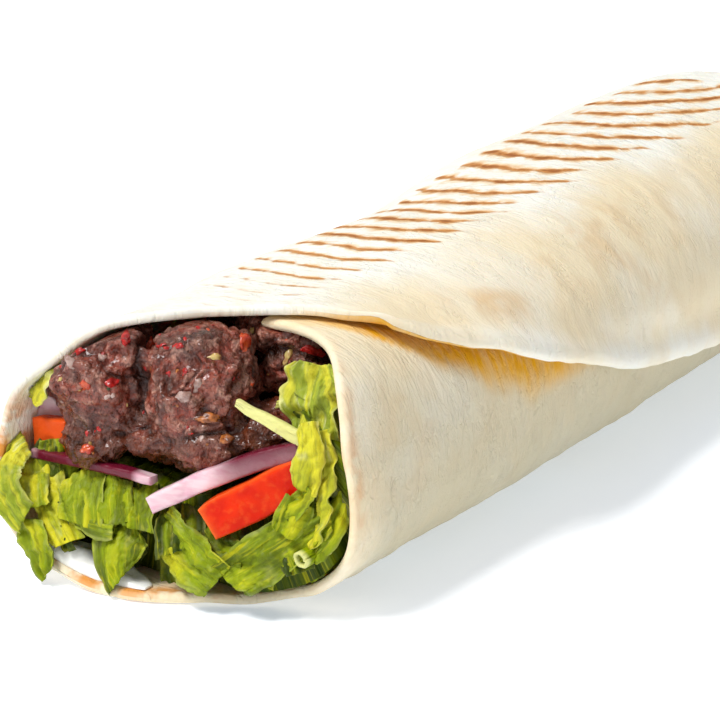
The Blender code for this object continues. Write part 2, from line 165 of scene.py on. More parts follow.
@dataclass
class RollForm:
    """The rolled sheet's own form, as the part's source has it."""

    width: float = 76.0
    height: float = 53.0
    flattened: float = 0.8
    mouth_flare: float = 1.5
    rear_narrowing: float = 2.6
    rear_lowering: float = 1.1
    right_shoulder: float = 4.2
    inner_edge_angle: float = math.radians(71.0)
    sheet_middle_arc: float = 118.0
    sheet_middle_y: float = 141.0
    sheet_radius_along: float = 150.0
    sheet_radius_across: float = 145.0
    corner_arc: float = 215.0
    rim_setback: float = 15.0
    rim_top_setback: float = 3.5
    cap_start: float = 217.0
    cap_depth: float = 13.0
    cap_power: float = 3.4
    cap_span: float = 36.0
    cap_hole: float = 0.07
    cap_pole_height: float = 20.0
    cap_dimple: float = 7.0
    pleats: int = 5
    pleat_depth: float = 1.6
    mouth_sag: float = 0.0
    arc_steps: int = 2016
    arc_turns: float = 1.4
    spare_turn: float = 0.6
    angles: Array = field(init=False)
    lengths: Array = field(init=False)
    perimeter: float = field(init=False)

    def __post_init__(self) -> None:
        """Measures the arc length round the roll from the sheet's inner edge."""
        turned = np.linspace(-self.spare_turn, 2 * math.pi * self.arc_turns, self.arc_steps)
        self.angles = self.inner_edge_angle - turned
        x, z = superellipse(self.angles, self.width / 2, self.height / 2)
        lengths = np.concatenate([[0], np.cumsum(np.hypot(np.diff(x), np.diff(z)))])
        self.lengths = lengths - np.interp(0, turned, lengths)
        self.perimeter = float(np.interp(2 * math.pi - self.inner_edge_angle, -self.angles, self.lengths))

    @property
    def rim_front(self) -> float:
        """The foremost station of the sheet."""
        return self.sheet_middle_y - self.sheet_radius_along

    def sizes(self, y: Array) -> tuple[Array, Array, Array]:
        """Gives the roll's middle x, half width and half height at y."""
        flare = smoothstep((30 - y) / 40)
        swell = np.sin(np.pi * np.clip(y / self.cap_start, 0, 1))
        rear = smoothstep((y - 85) / 85)
        half_width = self.width / 2 + self.mouth_flare * flare + 0.6 * swell - self.rear_narrowing * rear
        half_height = self.height / 2 + 0.5 * swell - self.rear_lowering * rear
        return -1.6 * flare - 0.8 * rear, half_width, half_height

    def shoulder_dip(self, angle: Array, y: Array) -> Array:
        """Gives how far the shoulders sink: the left sags, and the right stands proud at the mouth."""
        degrees = np.degrees(angle) % 360
        left = 1.2 * bell((y - 22) / 35) + 2.4 * bell((y - 55) / 40) + 4.9 * bell((y - 102) / 48)
        right = self.right_shoulder * smoothstep((44 - y) / 36)
        sag = self.mouth_sag * smoothstep((24 - y) / 26) * bell((degrees - 139) / 25)
        return left * bell((degrees - 128) / 75) - right * bell((degrees - 52) / 40) + sag

    def point(self, arc: Array, station: Array) -> Array:
        """Gives points of the first layer's outer face.

        Args:
            arc: The distance round the roll from the sheet's inner edge.
            station: The distance along the roll, and over its tucked end.

        Returns:
            The points.
        """
        angle = np.interp(arc, self.lengths, self.angles)
        turn = np.clip((station - self.cap_start) / self.cap_span, 0, 1) * np.pi / 2
        over = station > self.cap_start
        shrink = np.maximum(0, np.cos(turn)) ** (2 / self.cap_power) * (1 - self.cap_hole) + self.cap_hole
        shrink = np.where(over, shrink, 1.0)
        bulge = self.cap_depth * np.sin(turn) ** (2 / self.cap_power) - self.cap_dimple * (1 - shrink) ** 2
        pleat = self.pleat_depth * np.sin(self.pleats * angle + 0.8) * 4 * shrink * (1 - shrink)
        y = np.where(over, self.cap_start + bulge + pleat, station)
        middle_x, half_width, half_height = self.sizes(np.minimum(y, self.cap_start))
        x, z = superellipse(angle, half_width * shrink, half_height * shrink)
        sink = self.shoulder_dip(angle, y) * shrink / np.hypot(x, z)
        middle_z = self.cap_pole_height + (half_height - self.flattened - self.cap_pole_height) * shrink
        return stack(middle_x + x * (1 - sink), y, np.maximum(0.0, middle_z + z * (1 - sink)))

    def normal(self, arc: Array, station: Array, step: float = 0.4) -> Array:
        """Gives the outward direction of the first layer's outer face."""
        ahead = np.minimum(self.cap_start + self.cap_span, station + step)
        along = self.point(arc, ahead) - self.point(arc, ahead - 2 * step)
        around = self.point(arc + step, station) - self.point(arc - step, station)
        return unit(np.cross(around, along))

    def front_rim(self, arc: Array) -> Array:
        """Gives the station of the sheet's edge at the mouth."""
        setback = self.rim_setback * smoothstep((98 - arc) / 32)
        setback = setback + self.rim_top_setback * smoothstep((30 - arc) / 25)
        share = np.clip((arc - self.sheet_middle_arc) / self.sheet_radius_across, 0, 1)
        circle = self.sheet_middle_y - self.sheet_radius_along * np.sqrt(1 - share * share)
        return np.where(arc < self.sheet_middle_arc, self.rim_front + setback, circle)

    def flap_edge(self, station: Array) -> Array:
        """Gives the arc of the flap's free edge at a station."""
        share = np.clip((station - self.sheet_middle_y) / self.sheet_radius_along, -1, 1)
        return self.sheet_middle_arc + self.sheet_radius_across * np.sqrt(1 - share * share)

    @staticmethod
    def roof(degrees: Array) -> Array:
        """Gives how much further out the bread lies where only its outer layer covers the filling."""
        return 2.9 * smoothstep((146 - degrees) / 68) * smoothstep((degrees - 80) / 12)

    def hold_inside(self, points: Array, margin: float) -> Array:
        """Pulls points towards the roll's middle line until they clear the bread.

        Args:
            points: The points to hold.
            margin: How far under the first layer's outer face they stay.

        Returns:
            The points, moved where they were too far out.
        """
        y = np.clip(points[..., 1], self.rim_front, self.cap_start)
        middle_x, half_width, half_height = self.sizes(y)
        across = points[..., 0] - middle_x
        up = points[..., 2] - (half_height - self.flattened)
        reach = np.maximum(1e-6, np.hypot(across, up))
        power = 2.6
        wide, high = across / reach / half_width, up / reach / half_height
        outline = (np.abs(wide) ** power + np.abs(high) ** power) ** (-1 / power)
        lean_x = np.sign(across) * np.abs(across / reach * outline / half_width) ** (power / 2)
        lean_z = np.sign(up) * np.abs(up / reach * outline / half_height) ** (power / 2)
        angle = np.arctan2(lean_z, lean_x)
        covered = 0.35 + 0.65 * smoothstep((points[..., 1] - 1.0) / 7.0)
        dip = self.shoulder_dip(angle, y) - self.roof(np.degrees(angle)) * covered
        keep = np.minimum(1.0, (outline - dip - margin) / reach)
        held = points.copy()
        held[..., 0] = middle_x + across * keep
        held[..., 2] = half_height - self.flattened + up * keep
        return held


# Meshes


def show(thing: bpy.types.Object) -> None:
    """Puts an object into the scene."""
    bpy.context.scene.collection.objects.link(thing)


class MeshBuild:
    """Points, faces and painted marks of one mesh, gathered piece by piece in millimetres."""

    shift = np.zeros(3)

    def __init__(self) -> None:
        """Starts with nothing."""
        self.points: list[Array] = []
        self.faces: list[list[int]] = []
        self.marks: dict[str, list[Array]] = {}
        self.count = 0

    def add(self, points: Array, faces: Array, **marks: Array | float) -> None:
        """Adds a closed shape.

        Args:
            points: Its points, one a row.
            faces: Its faces, as rows of point numbers.
            **marks: What its material reads, one number a point or one for all.
        """
        self.points.append(points)
        self.faces += (faces + self.count).tolist()
        for name, values in marks.items():
            self.marks.setdefault(name, []).append(np.broadcast_to(values, (len(points),)).astype(float))
        self.count += len(points)

    def add_sheet(self, outer: Array, inner: Array, **marks: Array | float) -> None:
        """Adds a closed sheet between two grids of points.

        Args:
            outer: The outer face's points, as rows of columns.
            inner: The inner face's points, in the same order.
            **marks: What its material reads, as a pair of grids (outer and inner), one grid or one number.
        """
        rows, columns = outer.shape[:2]
        number = np.arange(rows * columns).reshape(rows, columns)
        quads = [number[:-1, :-1], number[:-1, 1:], number[1:, 1:], number[1:, :-1]]
        top = np.stack([q.ravel() for q in quads], axis=1)
        under = top[:, ::-1] + rows * columns
        edge = np.concatenate([number[0, :-1], number[:-1, -1], number[-1, :0:-1], number[:0:-1, 0]])
        after = np.roll(edge, -1)
        wall = np.stack([after, edge, edge + rows * columns, after + rows * columns], axis=1)
        faces = np.concatenate([top, under, wall])
        across = outer[:-1, 1:] - outer[:-1, :-1]
        along = outer[1:, :-1] - outer[:-1, :-1]
        facing = (np.cross(across, along) * (outer - inner)[:-1, :-1]).sum()
        if facing < 0:
            faces = faces[:, ::-1]
        flat = {}
        for name, values in marks.items():
            pair = values if isinstance(values, tuple) else (values, values)
            flat[name] = np.concatenate([np.broadcast_to(v, (rows, columns)).ravel() for v in pair])
        self.add(np.concatenate([outer.reshape(-1, 3), inner.reshape(-1, 3)]), faces, **flat)

    def finish(self, name: str, material: bpy.types.Material, slot: str, *nodes: str) -> bpy.types.Object:
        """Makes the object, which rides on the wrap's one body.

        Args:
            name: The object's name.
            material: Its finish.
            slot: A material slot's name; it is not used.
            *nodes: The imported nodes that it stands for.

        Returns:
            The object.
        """
        points = np.concatenate(self.points)
        mesh = bpy.data.meshes.new(name)
        mesh.from_pydata(((points + MeshBuild.shift) * MM).tolist(), [], self.faces)
        for mark, values in self.marks.items():
            layer = mesh.attributes.new(mark, "FLOAT", "POINT")
            layer.data.foreach_set("value", np.concatenate(values).astype(np.float32))
        mesh.shade_smooth()
        mesh.materials.append(material)
        piece = bpy.data.objects.new(name, mesh)
        show(piece)
        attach(piece, "root")
        if nodes:
            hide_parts(*nodes)
        LOG.info("%s: %d points, %d faces", name, len(points), len(self.faces))
        return piece


def points_of(mesh: bpy.types.Mesh) -> tuple[Array, Array]:
    """Gives a mesh's points and normals as arrays."""
    count = len(mesh.vertices)
    points, normals = np.empty(count * 3), np.empty(count * 3)
    mesh.vertices.foreach_get("co", points)
    mesh.vertex_normals.foreach_get("vector", normals)
    return points.reshape(-1, 3), normals.reshape(-1, 3)


def ball(fineness: int) -> tuple[Array, Array]:
    """Gives the points and triangles of a ball of radius one, which lumps and flakes are pressed from."""
    shape = bmesh.new()
    bmesh.ops.create_icosphere(shape, subdivisions=fineness, radius=1.0)
    points = np.array([vert.co[:] for vert in shape.verts])
    faces = np.array([[vert.index for vert in face.verts] for face in shape.faces])
    shape.free()
    return points, faces


# Paint


class Paint:
    """A node material while it is put together."""

    def __init__(self, name: str) -> None:
        """Starts with a plain principled shader.

        Args:
            name: The material's name.
        """
        self.material = bpy.data.materials.new(name)
        self.material.use_nodes = True
        self.tree = self.material.node_tree
        self.shader = self.tree.nodes["Principled BSDF"]
        coordinates = self.tree.nodes.new("ShaderNodeTexCoord")
        self.place = coordinates.outputs["Object"]

    def on_sheet(self) -> None:
        """Lays the patterns out along the sheet, by its painted arc and station."""
        node = self.tree.nodes.new("ShaderNodeCombineXYZ")
        self.plug(node.inputs[0], self.mark("arc"))
        self.plug(node.inputs[1], self.mark("station"))
        self.place = node.outputs[0]

    def plug(self, target: Socket, value: object) -> None:
        """Links a socket to a value's socket, or sets it to the value itself."""
        if isinstance(value, Socket):
            self.tree.links.new(value, target)
        elif isinstance(value, tuple) and len(value) == 3:
            target.default_value = linear(value)
        else:
            target.default_value = value

    def mark(self, name: str) -> Socket:
        """Reads one of the mesh's painted marks."""
        node = self.tree.nodes.new("ShaderNodeAttribute")
        node.attribute_name = name
        return node.outputs["Fac"]

    def grain(
        self, size: float, detail: float = 2.0, stretch: Place = (1, 1, 1), warp: float = 0.0
    ) -> Socket:
        """Makes an even noise.

        Args:
            size: A lump's size in millimetres.
            detail: How many finer layers it has.
            stretch: How much finer it is along each axis.
            warp: How far it is distorted.

        Returns:
            The noise, from 0 to 1.
        """
        mapping = self.tree.nodes.new("ShaderNodeMapping")
        mapping.inputs["Scale"].default_value = stretch
        self.tree.links.new(self.place, mapping.inputs["Vector"])
        node = self.tree.nodes.new("ShaderNodeTexNoise")
        node.inputs["Scale"].default_value = 1 / (size * MM)
        node.inputs["Detail"].default_value = detail
        node.inputs["Distortion"].default_value = warp
        self.tree.links.new(mapping.outputs["Vector"], node.inputs["Vector"])
        return node.outputs["Fac"]

    def cells(self, size: float) -> Socket:
        """Makes a field of cells of a size in millimetres, and gives the distance in it."""
        node = self.tree.nodes.new("ShaderNodeTexVoronoi")
        node.inputs["Scale"].default_value = 1 / (size * MM)
        self.tree.links.new(self.place, node.inputs["Vector"])
        return node.outputs["Distance"]

    def sum(self, operation: str, first: object, second: object = 0.0, third: object = 0.0) -> Socket:
        """Works out a sum of up to three numbers or sockets."""
        node = self.tree.nodes.new("ShaderNodeMath")
        node.operation = operation
        for socket, value in zip(node.inputs, (first, second, third)):
            self.plug(socket, value)
        return node.outputs[0]

    def times(self, first: object, second: object) -> Socket:
        """Multiplies two numbers or sockets."""
        return self.sum("MULTIPLY", first, second)

    def fade(self, value: object, low: float, high: float, start: float = 0.0, end: float = 1.0) -> Socket:
        """Fades smoothly from start to end as a value goes from low to high."""
        node = self.tree.nodes.new("ShaderNodeMapRange")
        node.interpolation_type = "SMOOTHSTEP"
        for name, number in (("From Min", low), ("From Max", high), ("To Min", start), ("To Max", end)):
            node.inputs[name].default_value = number
        self.plug(node.inputs["Value"], value)
        return node.outputs[0]

    def mix(self, share: object, first: object, second: object) -> Socket:
        """Mixes two colours."""
        node = self.tree.nodes.new("ShaderNodeMix")
        node.data_type = "RGBA"
        self.plug(node.inputs[0], share)
        self.plug(node.inputs[6], first)
        self.plug(node.inputs[7], second)
        return node.outputs[2]

    def relief(self, height: object, depth: float) -> None:
        """Raises fine relief of a depth in millimetres on the surface, over any that it has."""
        node = self.tree.nodes.new("ShaderNodeBump")
        node.inputs["Distance"].default_value = depth * MM
        self.plug(node.inputs["Height"], height)
        normal = self.shader.inputs["Normal"]
        if normal.is_linked:
            self.tree.links.new(normal.links[0].from_socket, node.inputs["Normal"])
        self.tree.links.new(node.outputs["Normal"], normal)

    def finish(self, colour: object, roughness: object, **fixed: object) -> bpy.types.Material:
        """Sets the shader's sockets and gives the material.

        Args:
            colour: The base colour, as a colour or a socket.
            roughness: The roughness, as a number or a socket.
            **fixed: Other sockets of the shader, with underscores for spaces, that are the same all over.

        Returns:
            The material.
        """
        self.plug(self.shader.inputs["Base Color"], colour)
        self.plug(self.shader.inputs["Roughness"], roughness)
        for name, value in fixed.items():
            self.shader.inputs[name.replace("_", " ")].default_value = value
        return self.material


@dataclass(frozen=True)
class BreadFinish:
    """Soft pale flatbread: floury cream, toasted in patches, oily at the mouth, with grill lines, and painted
    shade: a warm shadow under the flap's free edge and a darker lower wall.
    """

    pale: Colour = (247, 247, 238)
    cream: Colour = (240, 224, 190)
    toasted: Colour = (222, 188, 140)
    # the warm painted shadow under the flap's free edge
    painted_flap_shade: Colour = (236, 176, 22)
    oil: Colour = (220, 146, 64)
    halo: Colour = (240, 198, 138)
    char: Colour = (202, 132, 62)
    burnt: Colour = (146, 78, 32)
    # painted shade that darkens the lower wall towards the floor
    low: Colour = (192, 184, 156)
    grill_pitch: float = 8.5

    def paint(self) -> bpy.types.Material:
        """Makes the material."""
        paint = Paint("flatbread")
        paint.on_sheet()
        broad = paint.fade(paint.grain(24, 3), 0.3, 0.7, -0.25, 0.25)
        creamy = paint.sum("ADD", paint.mark("cream"), broad)
        colour = paint.mix(paint.fade(creamy, 0.0, 1.0), self.pale, self.cream)
        mottle = paint.fade(paint.grain(3.2, 4, stretch=(0.5, 1.3, 1), warp=0.8), 0.45, 0.75)
        colour = paint.mix(paint.times(mottle, 0.25), colour, self.cream)
        # Painted shade: the lower wall darker towards the floor.
        colour = paint.mix(paint.mark("low"), colour, self.low)
        patches = paint.fade(paint.grain(11, 5, warp=0.7), 0.42, 0.68)
        patches = paint.times(patches, paint.mark("toast"))
        colour = paint.mix(paint.times(patches, 0.62), colour, self.toasted)
        # Painted shade: the warm golden shadow under the flap's free edge, with a ragged border.
        ragged = paint.fade(paint.grain(3, 3, stretch=(0.35, 1.2, 1)), 0.3, 0.7, 0.7, 1.1)
        painted_flap_shade = paint.times(paint.mark("painted_flap_shade"), ragged)
        colour = paint.mix(painted_flap_shade, colour, self.painted_flap_shade)
        oily = paint.fade(paint.grain(5, 3), 0.38, 0.6)
        oily = paint.times(oily, paint.mark("oil"))
        colour = paint.mix(oily, colour, self.oil)
        colour = self.grill(paint, colour)
        self.wrinkle(paint)
        roughness = paint.fade(oily, 0.0, 1.0, 0.78, 0.45)
        return paint.finish(
            colour,
            roughness,
            Subsurface_Weight=0.10,
            Subsurface_Radius=(1.0, 0.65, 0.35),
            Subsurface_Scale=0.002,
            Specular_IOR_Level=0.2,
        )

    def wrinkle(self, paint: Paint) -> None:
        """Raises the skin's relief: fibrous wrinkles round the roll, short curled creases and pores."""
        fibres = paint.grain(2.4, 3, stretch=(0.42, 1.1, 1), warp=1.6)
        paint.relief(paint.times(fibres, paint.fade(paint.mark("flap"), 0.0, 1.0, 1.0, 0.3)), 0.6)
        curls = paint.grain(3.6, 2, stretch=(0.6, 1.1, 1), warp=1.7)
        creases = paint.fade(paint.sum("ABSOLUTE", paint.sum("SUBTRACT", curls, 0.5)), 0.0, 0.045, 1.0, 0.0)
        somewhere = paint.fade(paint.grain(9, 2), 0.42, 0.62)
        paint.relief(paint.times(creases, somewhere), -0.08)
        paint.relief(paint.grain(0.7, 2), 0.10)

    def grill(self, paint: Paint, colour: Socket) -> Socket:
        """Draws the grill's lines over the crust.

        Args:
            paint: The material.
            colour: The crust's colour.

        Returns:
            The colour with the lines.
        """
        wander = paint.fade(paint.grain(7, 2), 0.25, 0.75, -0.07, 0.07)
        row = paint.sum("ADD", paint.mark("grill_row"), wander)
        off = paint.sum("ABSOLUTE", paint.sum("SUBTRACT", row, paint.sum("ROUND", row)))
        off = paint.times(off, self.grill_pitch)
        uneven = paint.fade(paint.grain(4.0, 3), 0.3, 0.7, 0.3, 1.3)
        strength = paint.times(paint.mark("char"), uneven)
        reach = paint.sum("MULTIPLY_ADD", strength, 1.15, 0.28)
        inside = paint.sum("DIVIDE", off, reach)
        halo = paint.times(paint.fade(inside, 0.8, 2.8, 1.0, 0.0), paint.fade(strength, 0.0, 0.6))
        core = paint.times(paint.fade(inside, 0.45, 1.35, 1.0, 0.0), paint.fade(strength, 0.05, 0.4))
        black = paint.times(paint.fade(inside, 0.1, 0.85, 1.0, 0.0), paint.fade(strength, 0.4, 1.15))
        colour = paint.mix(paint.times(halo, 0.75), colour, self.halo)
        colour = paint.mix(paint.times(core, 0.88), colour, self.char)
        colour = paint.mix(paint.times(black, 0.75), colour, self.burnt)
        paint.relief(core, -0.25)
        return colour


@dataclass(frozen=True)
class MeatFinish:
    """Grilled minced meat: purple-brown grains, redder lobes, near-black painted shade in the hollows,
    painted highlights on the grains' tops and a greasy shine.
    """

    brown: Colour = (96, 42, 26)
    red: Colour = (142, 58, 38)
    fat: Colour = (216, 168, 146)
    # the painted shade of the hollows, seams and pits, also the colour of the dark specks
    hollow: Colour = (54, 20, 6)
    juice: Colour = (104, 44, 10)

    def paint(self) -> bpy.types.Material:
        """Makes the material."""
        paint = Paint("meat")
        colour = paint.mix(paint.fade(paint.grain(6, 3), 0.38, 0.64), self.brown, self.red)
        grains = paint.grain(1.5, 3)
        colour = paint.mix(paint.times(paint.fade(grains, 0.54, 0.74), 0.55), colour, self.fat)
        pink = paint.fade(paint.grain(3.4, 4), 0.52, 0.68)
        colour = paint.mix(paint.times(pink, 0.34), colour, self.fat)
        # Painted highlight: the grains' tops lightened towards the fat's colour.
        colour = paint.mix(paint.times(paint.mark("crest"), 0.18), colour, self.fat)
        # dark specks at random, in the colour of the hollows' painted shade
        specks = paint.fade(paint.grain(1.0, 2), 0.34, 0.48, 1.0, 0.0)
        colour = paint.mix(paint.times(specks, 0.5), colour, self.hollow)
        juicy = paint.times(paint.mark("juice"), paint.fade(paint.grain(5, 2), 0.25, 0.55, 0.35, 1.0))
        colour = paint.mix(paint.times(juicy, 0.85), colour, self.juice)
        # Painted shade: the hollows, the seams between lumps, the folds and the pits darkened.
        colour = paint.mix(paint.mark("hollow"), colour, self.hollow)
        paint.relief(paint.cells(1.5), -0.7)
        paint.relief(paint.grain(1.2, 3), 0.9)
        paint.relief(paint.grain(0.55, 2), 0.4)
        roughness = paint.fade(paint.grain(2.4, 2), 0.35, 0.65, 0.22, 0.42)
        return paint.finish(
            colour,
            roughness,
            Specular_IOR_Level=0.4,
            Coat_Weight=0.4,
            Coat_Roughness=0.1,
            Subsurface_Weight=0.03,
            Subsurface_Radius=(1.0, 0.3, 0.2),
            Subsurface_Scale=0.0015,
        )


@dataclass(frozen=True)
class LeafFinish:
    """Fresh cut lettuce: pale ribs, yellow to dark green blades, painted light and shade on the folds and
    creases, and a wet shine.
    """

    bright: Colour = (136, 154, 0)
    yellow: Colour = (212, 204, 26)
    # the leaves' own dark green, also their painted shade at creases and folds
    deep: Colour = (44, 62, 2)
    rib: Colour = (226, 224, 148)

    def paint(self) -> bpy.types.Material:
        """Makes the material."""
        paint = Paint("lettuce")
        paint.on_sheet()
        # The tone mark carries each leaf's own colour together with painted light and shade on its folds and
        # creases.
        tone = paint.mark("tone")
        colour = paint.mix(paint.fade(tone, 0.0, 0.55), self.deep, self.bright)
        colour = paint.mix(paint.fade(tone, 0.5, 1.0), colour, self.yellow)
        blotch = paint.fade(paint.grain(4, 3), 0.42, 0.68)
        colour = paint.mix(paint.times(blotch, 0.14), colour, self.deep)
        light = paint.fade(paint.grain(2.2, 3), 0.5, 0.75)
        colour = paint.mix(paint.times(light, 0.18), colour, self.yellow)
        veins = paint.grain(1.0, 3, stretch=(1, 0.15, 1), warp=0.6)
        dark = paint.fade(veins, 0.34, 0.5, 1.0, 0.0)
        colour = paint.mix(paint.times(dark, 0.38), colour, self.deep)
        colour = paint.mix(paint.times(paint.fade(veins, 0.54, 0.7), 0.42), colour, self.yellow)
        colour = paint.mix(paint.mark("rib"), colour, self.rib)
        paint.relief(veins, 0.45)
        paint.relief(paint.grain(2.4, 2, stretch=(1, 0.6, 1), warp=1.0), 0.6)
        paint.relief(paint.grain(0.8, 2), 0.12)
        roughness = paint.fade(paint.grain(3, 2), 0.3, 0.7, 0.34, 0.55)
        return paint.finish(
            colour,
            roughness,
            Specular_IOR_Level=0.12,
            Subsurface_Weight=0.06,
            Subsurface_Radius=(0.6, 1.0, 0.1),
            Subsurface_Scale=0.0012,
        )


@dataclass(frozen=True)
class TomatoFinish:
    """Cut tomato: wet orange-red flesh, paler where it was cut across, with painted highlights along its
    edges.
    """

    flesh: Colour = (232, 46, 0)
    deep: Colour = (214, 26, 0)
    # the cut ends' paler colour, also used for the painted highlight along the edges
    cut: Colour = (252, 128, 50)

    def paint(self) -> bpy.types.Material:
        """Makes the material."""
        paint = Paint("tomato")
        colour = paint.mix(paint.fade(paint.grain(7, 2), 0.35, 0.65), self.flesh, self.deep)
        # Paler at the cut ends, and a painted highlight along the bars' edges.
        colour = paint.mix(paint.mark("cut"), colour, self.cut)
        fibres = paint.fade(paint.grain(1.6, 3), 0.5, 0.72)
        colour = paint.mix(paint.times(fibres, 0.16), colour, self.cut)
        paint.relief(paint.grain(1.6, 2), 0.08)
        paint.relief(paint.grain(0.6, 2), 0.04)
        roughness = paint.fade(paint.grain(3, 2), 0.3, 0.7, 0.22, 0.4)
        return paint.finish(
            colour,
            roughness,
            Specular_IOR_Level=0.1,
            Subsurface_Weight=0.08,
            Subsurface_Radius=(1.0, 0.2, 0.04),
            Subsurface_Scale=0.002,
            Coat_Weight=0.04,
            Coat_Roughness=0.12,
        )


@dataclass(frozen=True)
class OnionFinish:
    """Sliced red onion: glassy lilac flesh, deepening to magenta skin."""

    flesh: Colour = (238, 208, 212)
    lilac: Colour = (222, 166, 182)
    skin: Colour = (104, 16, 40)

    def paint(self) -> bpy.types.Material:
        """Makes the material."""
        paint = Paint("onion")
        fibres = paint.grain(2.0, 3, stretch=(0.25, 1, 1.6))
        colour = paint.mix(paint.fade(fibres, 0.35, 0.75), self.flesh, self.lilac)
        colour = paint.mix(paint.mark("skin"), colour, self.skin)
        paint.relief(fibres, 0.15)
        roughness = paint.fade(paint.grain(3, 2), 0.3, 0.7, 0.2, 0.38)
        return paint.finish(
            colour,
            roughness,
            Specular_IOR_Level=0.4,
            Subsurface_Weight=0.2,
            Subsurface_Radius=(1.0, 0.6, 0.8),
            Subsurface_Scale=0.002,
        )


@dataclass(frozen=True)
class SauceFinish:
    """Thick white yoghurt sauce with a trace of oil."""

    white: Colour = (254, 253, 246)
    oil: Colour = (236, 170, 96)

    def paint(self) -> bpy.types.Material:
        """Makes the material."""
        paint = Paint("sauce")
        tint = paint.times(paint.fade(paint.grain(5, 3), 0.62, 0.78), 0.4)
        colour = paint.mix(tint, self.white, self.oil)
        paint.relief(paint.grain(2.2, 2), 0.2)
        roughness = paint.fade(paint.grain(4, 2), 0.3, 0.7, 0.18, 0.34)
        return paint.finish(
            colour,
            roughness,
            Subsurface_Weight=0.25,
            Subsurface_Radius=(1.0, 0.9, 0.8),
            Subsurface_Scale=0.002,
        )


class FleckKind(Enum):
    """What a fleck on the kebab is, with its two colours."""

    CHILLI = ((196, 30, 24), (140, 16, 14))
    PEPPER = ((206, 84, 40), (168, 44, 22))
    SEED = ((206, 180, 108), (170, 128, 68))
    FAT = ((188, 160, 150), (146, 110, 98))
    CRISP = ((186, 110, 50), (96, 44, 16))
    HERB = ((74, 104, 34), (38, 62, 18))


@dataclass(frozen=True)
class FleckFinish:
    """A wet fleck of one kind."""

    kind: FleckKind

    def paint(self) -> bpy.types.Material:
        """Makes the material."""
        light, dark = self.kind.value
        paint = Paint("fleck_" + self.kind.name.lower())
        colour = paint.mix(paint.fade(paint.grain(1.2, 2), 0.35, 0.65), light, dark)
        paint.relief(paint.grain(0.7, 2), 0.1)
        roughness = paint.fade(paint.grain(1.5, 2), 0.3, 0.7, 0.18, 0.4)
        return paint.finish(
            colour,
            roughness,
            Specular_IOR_Level=0.6,
            Subsurface_Weight=0.1,
            Subsurface_Radius=(1.0, 0.4, 0.3),
            Subsurface_Scale=0.001,
        )


# Flatbread


EDGE_STEPS = np.array([0.0, 0.08, 0.25, 0.5, 0.85, 1.3, 1.9])


def shares_with_close_edges(length: float, pitch: float, both: bool) -> Array:
    """Spaces a length with close steps at a rounded edge.

    Args:
        length: The length.
        pitch: The even step away from the edge.
        both: Whether both ends are rounded, or only the first.

    Returns:
        The shares of the length, from 0 to 1.
    """
    start = EDGE_STEPS / length
    stop = 1 - start[::-1] if both else np.array([1.0])
    count = int((stop[0] - start[-1]) * length / pitch)
    return np.concatenate([start, np.linspace(start[-1], stop[0], count + 1)[1:-1], stop])


Bends = tuple[tuple[float, float], ...]
RIM_SHIFTS: Bends = (
    (-11, 10.5), (0, 8), (6, 5), (12, -2.3), (18, -5.3), (24, -5.5),
    (30, -5), (36, -4.5), (48, -3.5), (60, -2.5), (72, -0.8), (80, 0),
)
FLAP_SHIFTS: Bends = (
    (30, 10), (40, 6), (50, 3), (60, 0), (70, -2.7), (80, -4.5),
    (90, -5.4), (110, -5.4), (130, -4.1), (150, -2.2), (165, 0),
)
# Charred heads of the grill's lines: the line's number, the head's x, half its length and its strength
GRILL_HEADS = (
    (8, -4.5, 6.0, 1.0), (14, -13.0, 4.0, 1.0), (15, -10.5, 3.4, 0.9),
    (13, -11.0, 5.0, 0.6), (6, -9.0, 3.5, 0.6),
)


def bent(value: Array, bends: Bends, ease: float) -> Array:
    """Reads a line through given points, whose bends are eased.

    Args:
        value: Where to read it.
        bends: The points.
        ease: The distance over which a bend is eased.

    Returns:
        The line's height at each place.
    """
    places, heights = zip(*bends)
    steps = ((-1.0, 0.1), (-0.5, 0.2), (0.0, 0.4), (0.5, 0.2), (1.0, 0.1))
    return sum(share * np.interp(value + step * ease, places, heights) for step, share in steps)


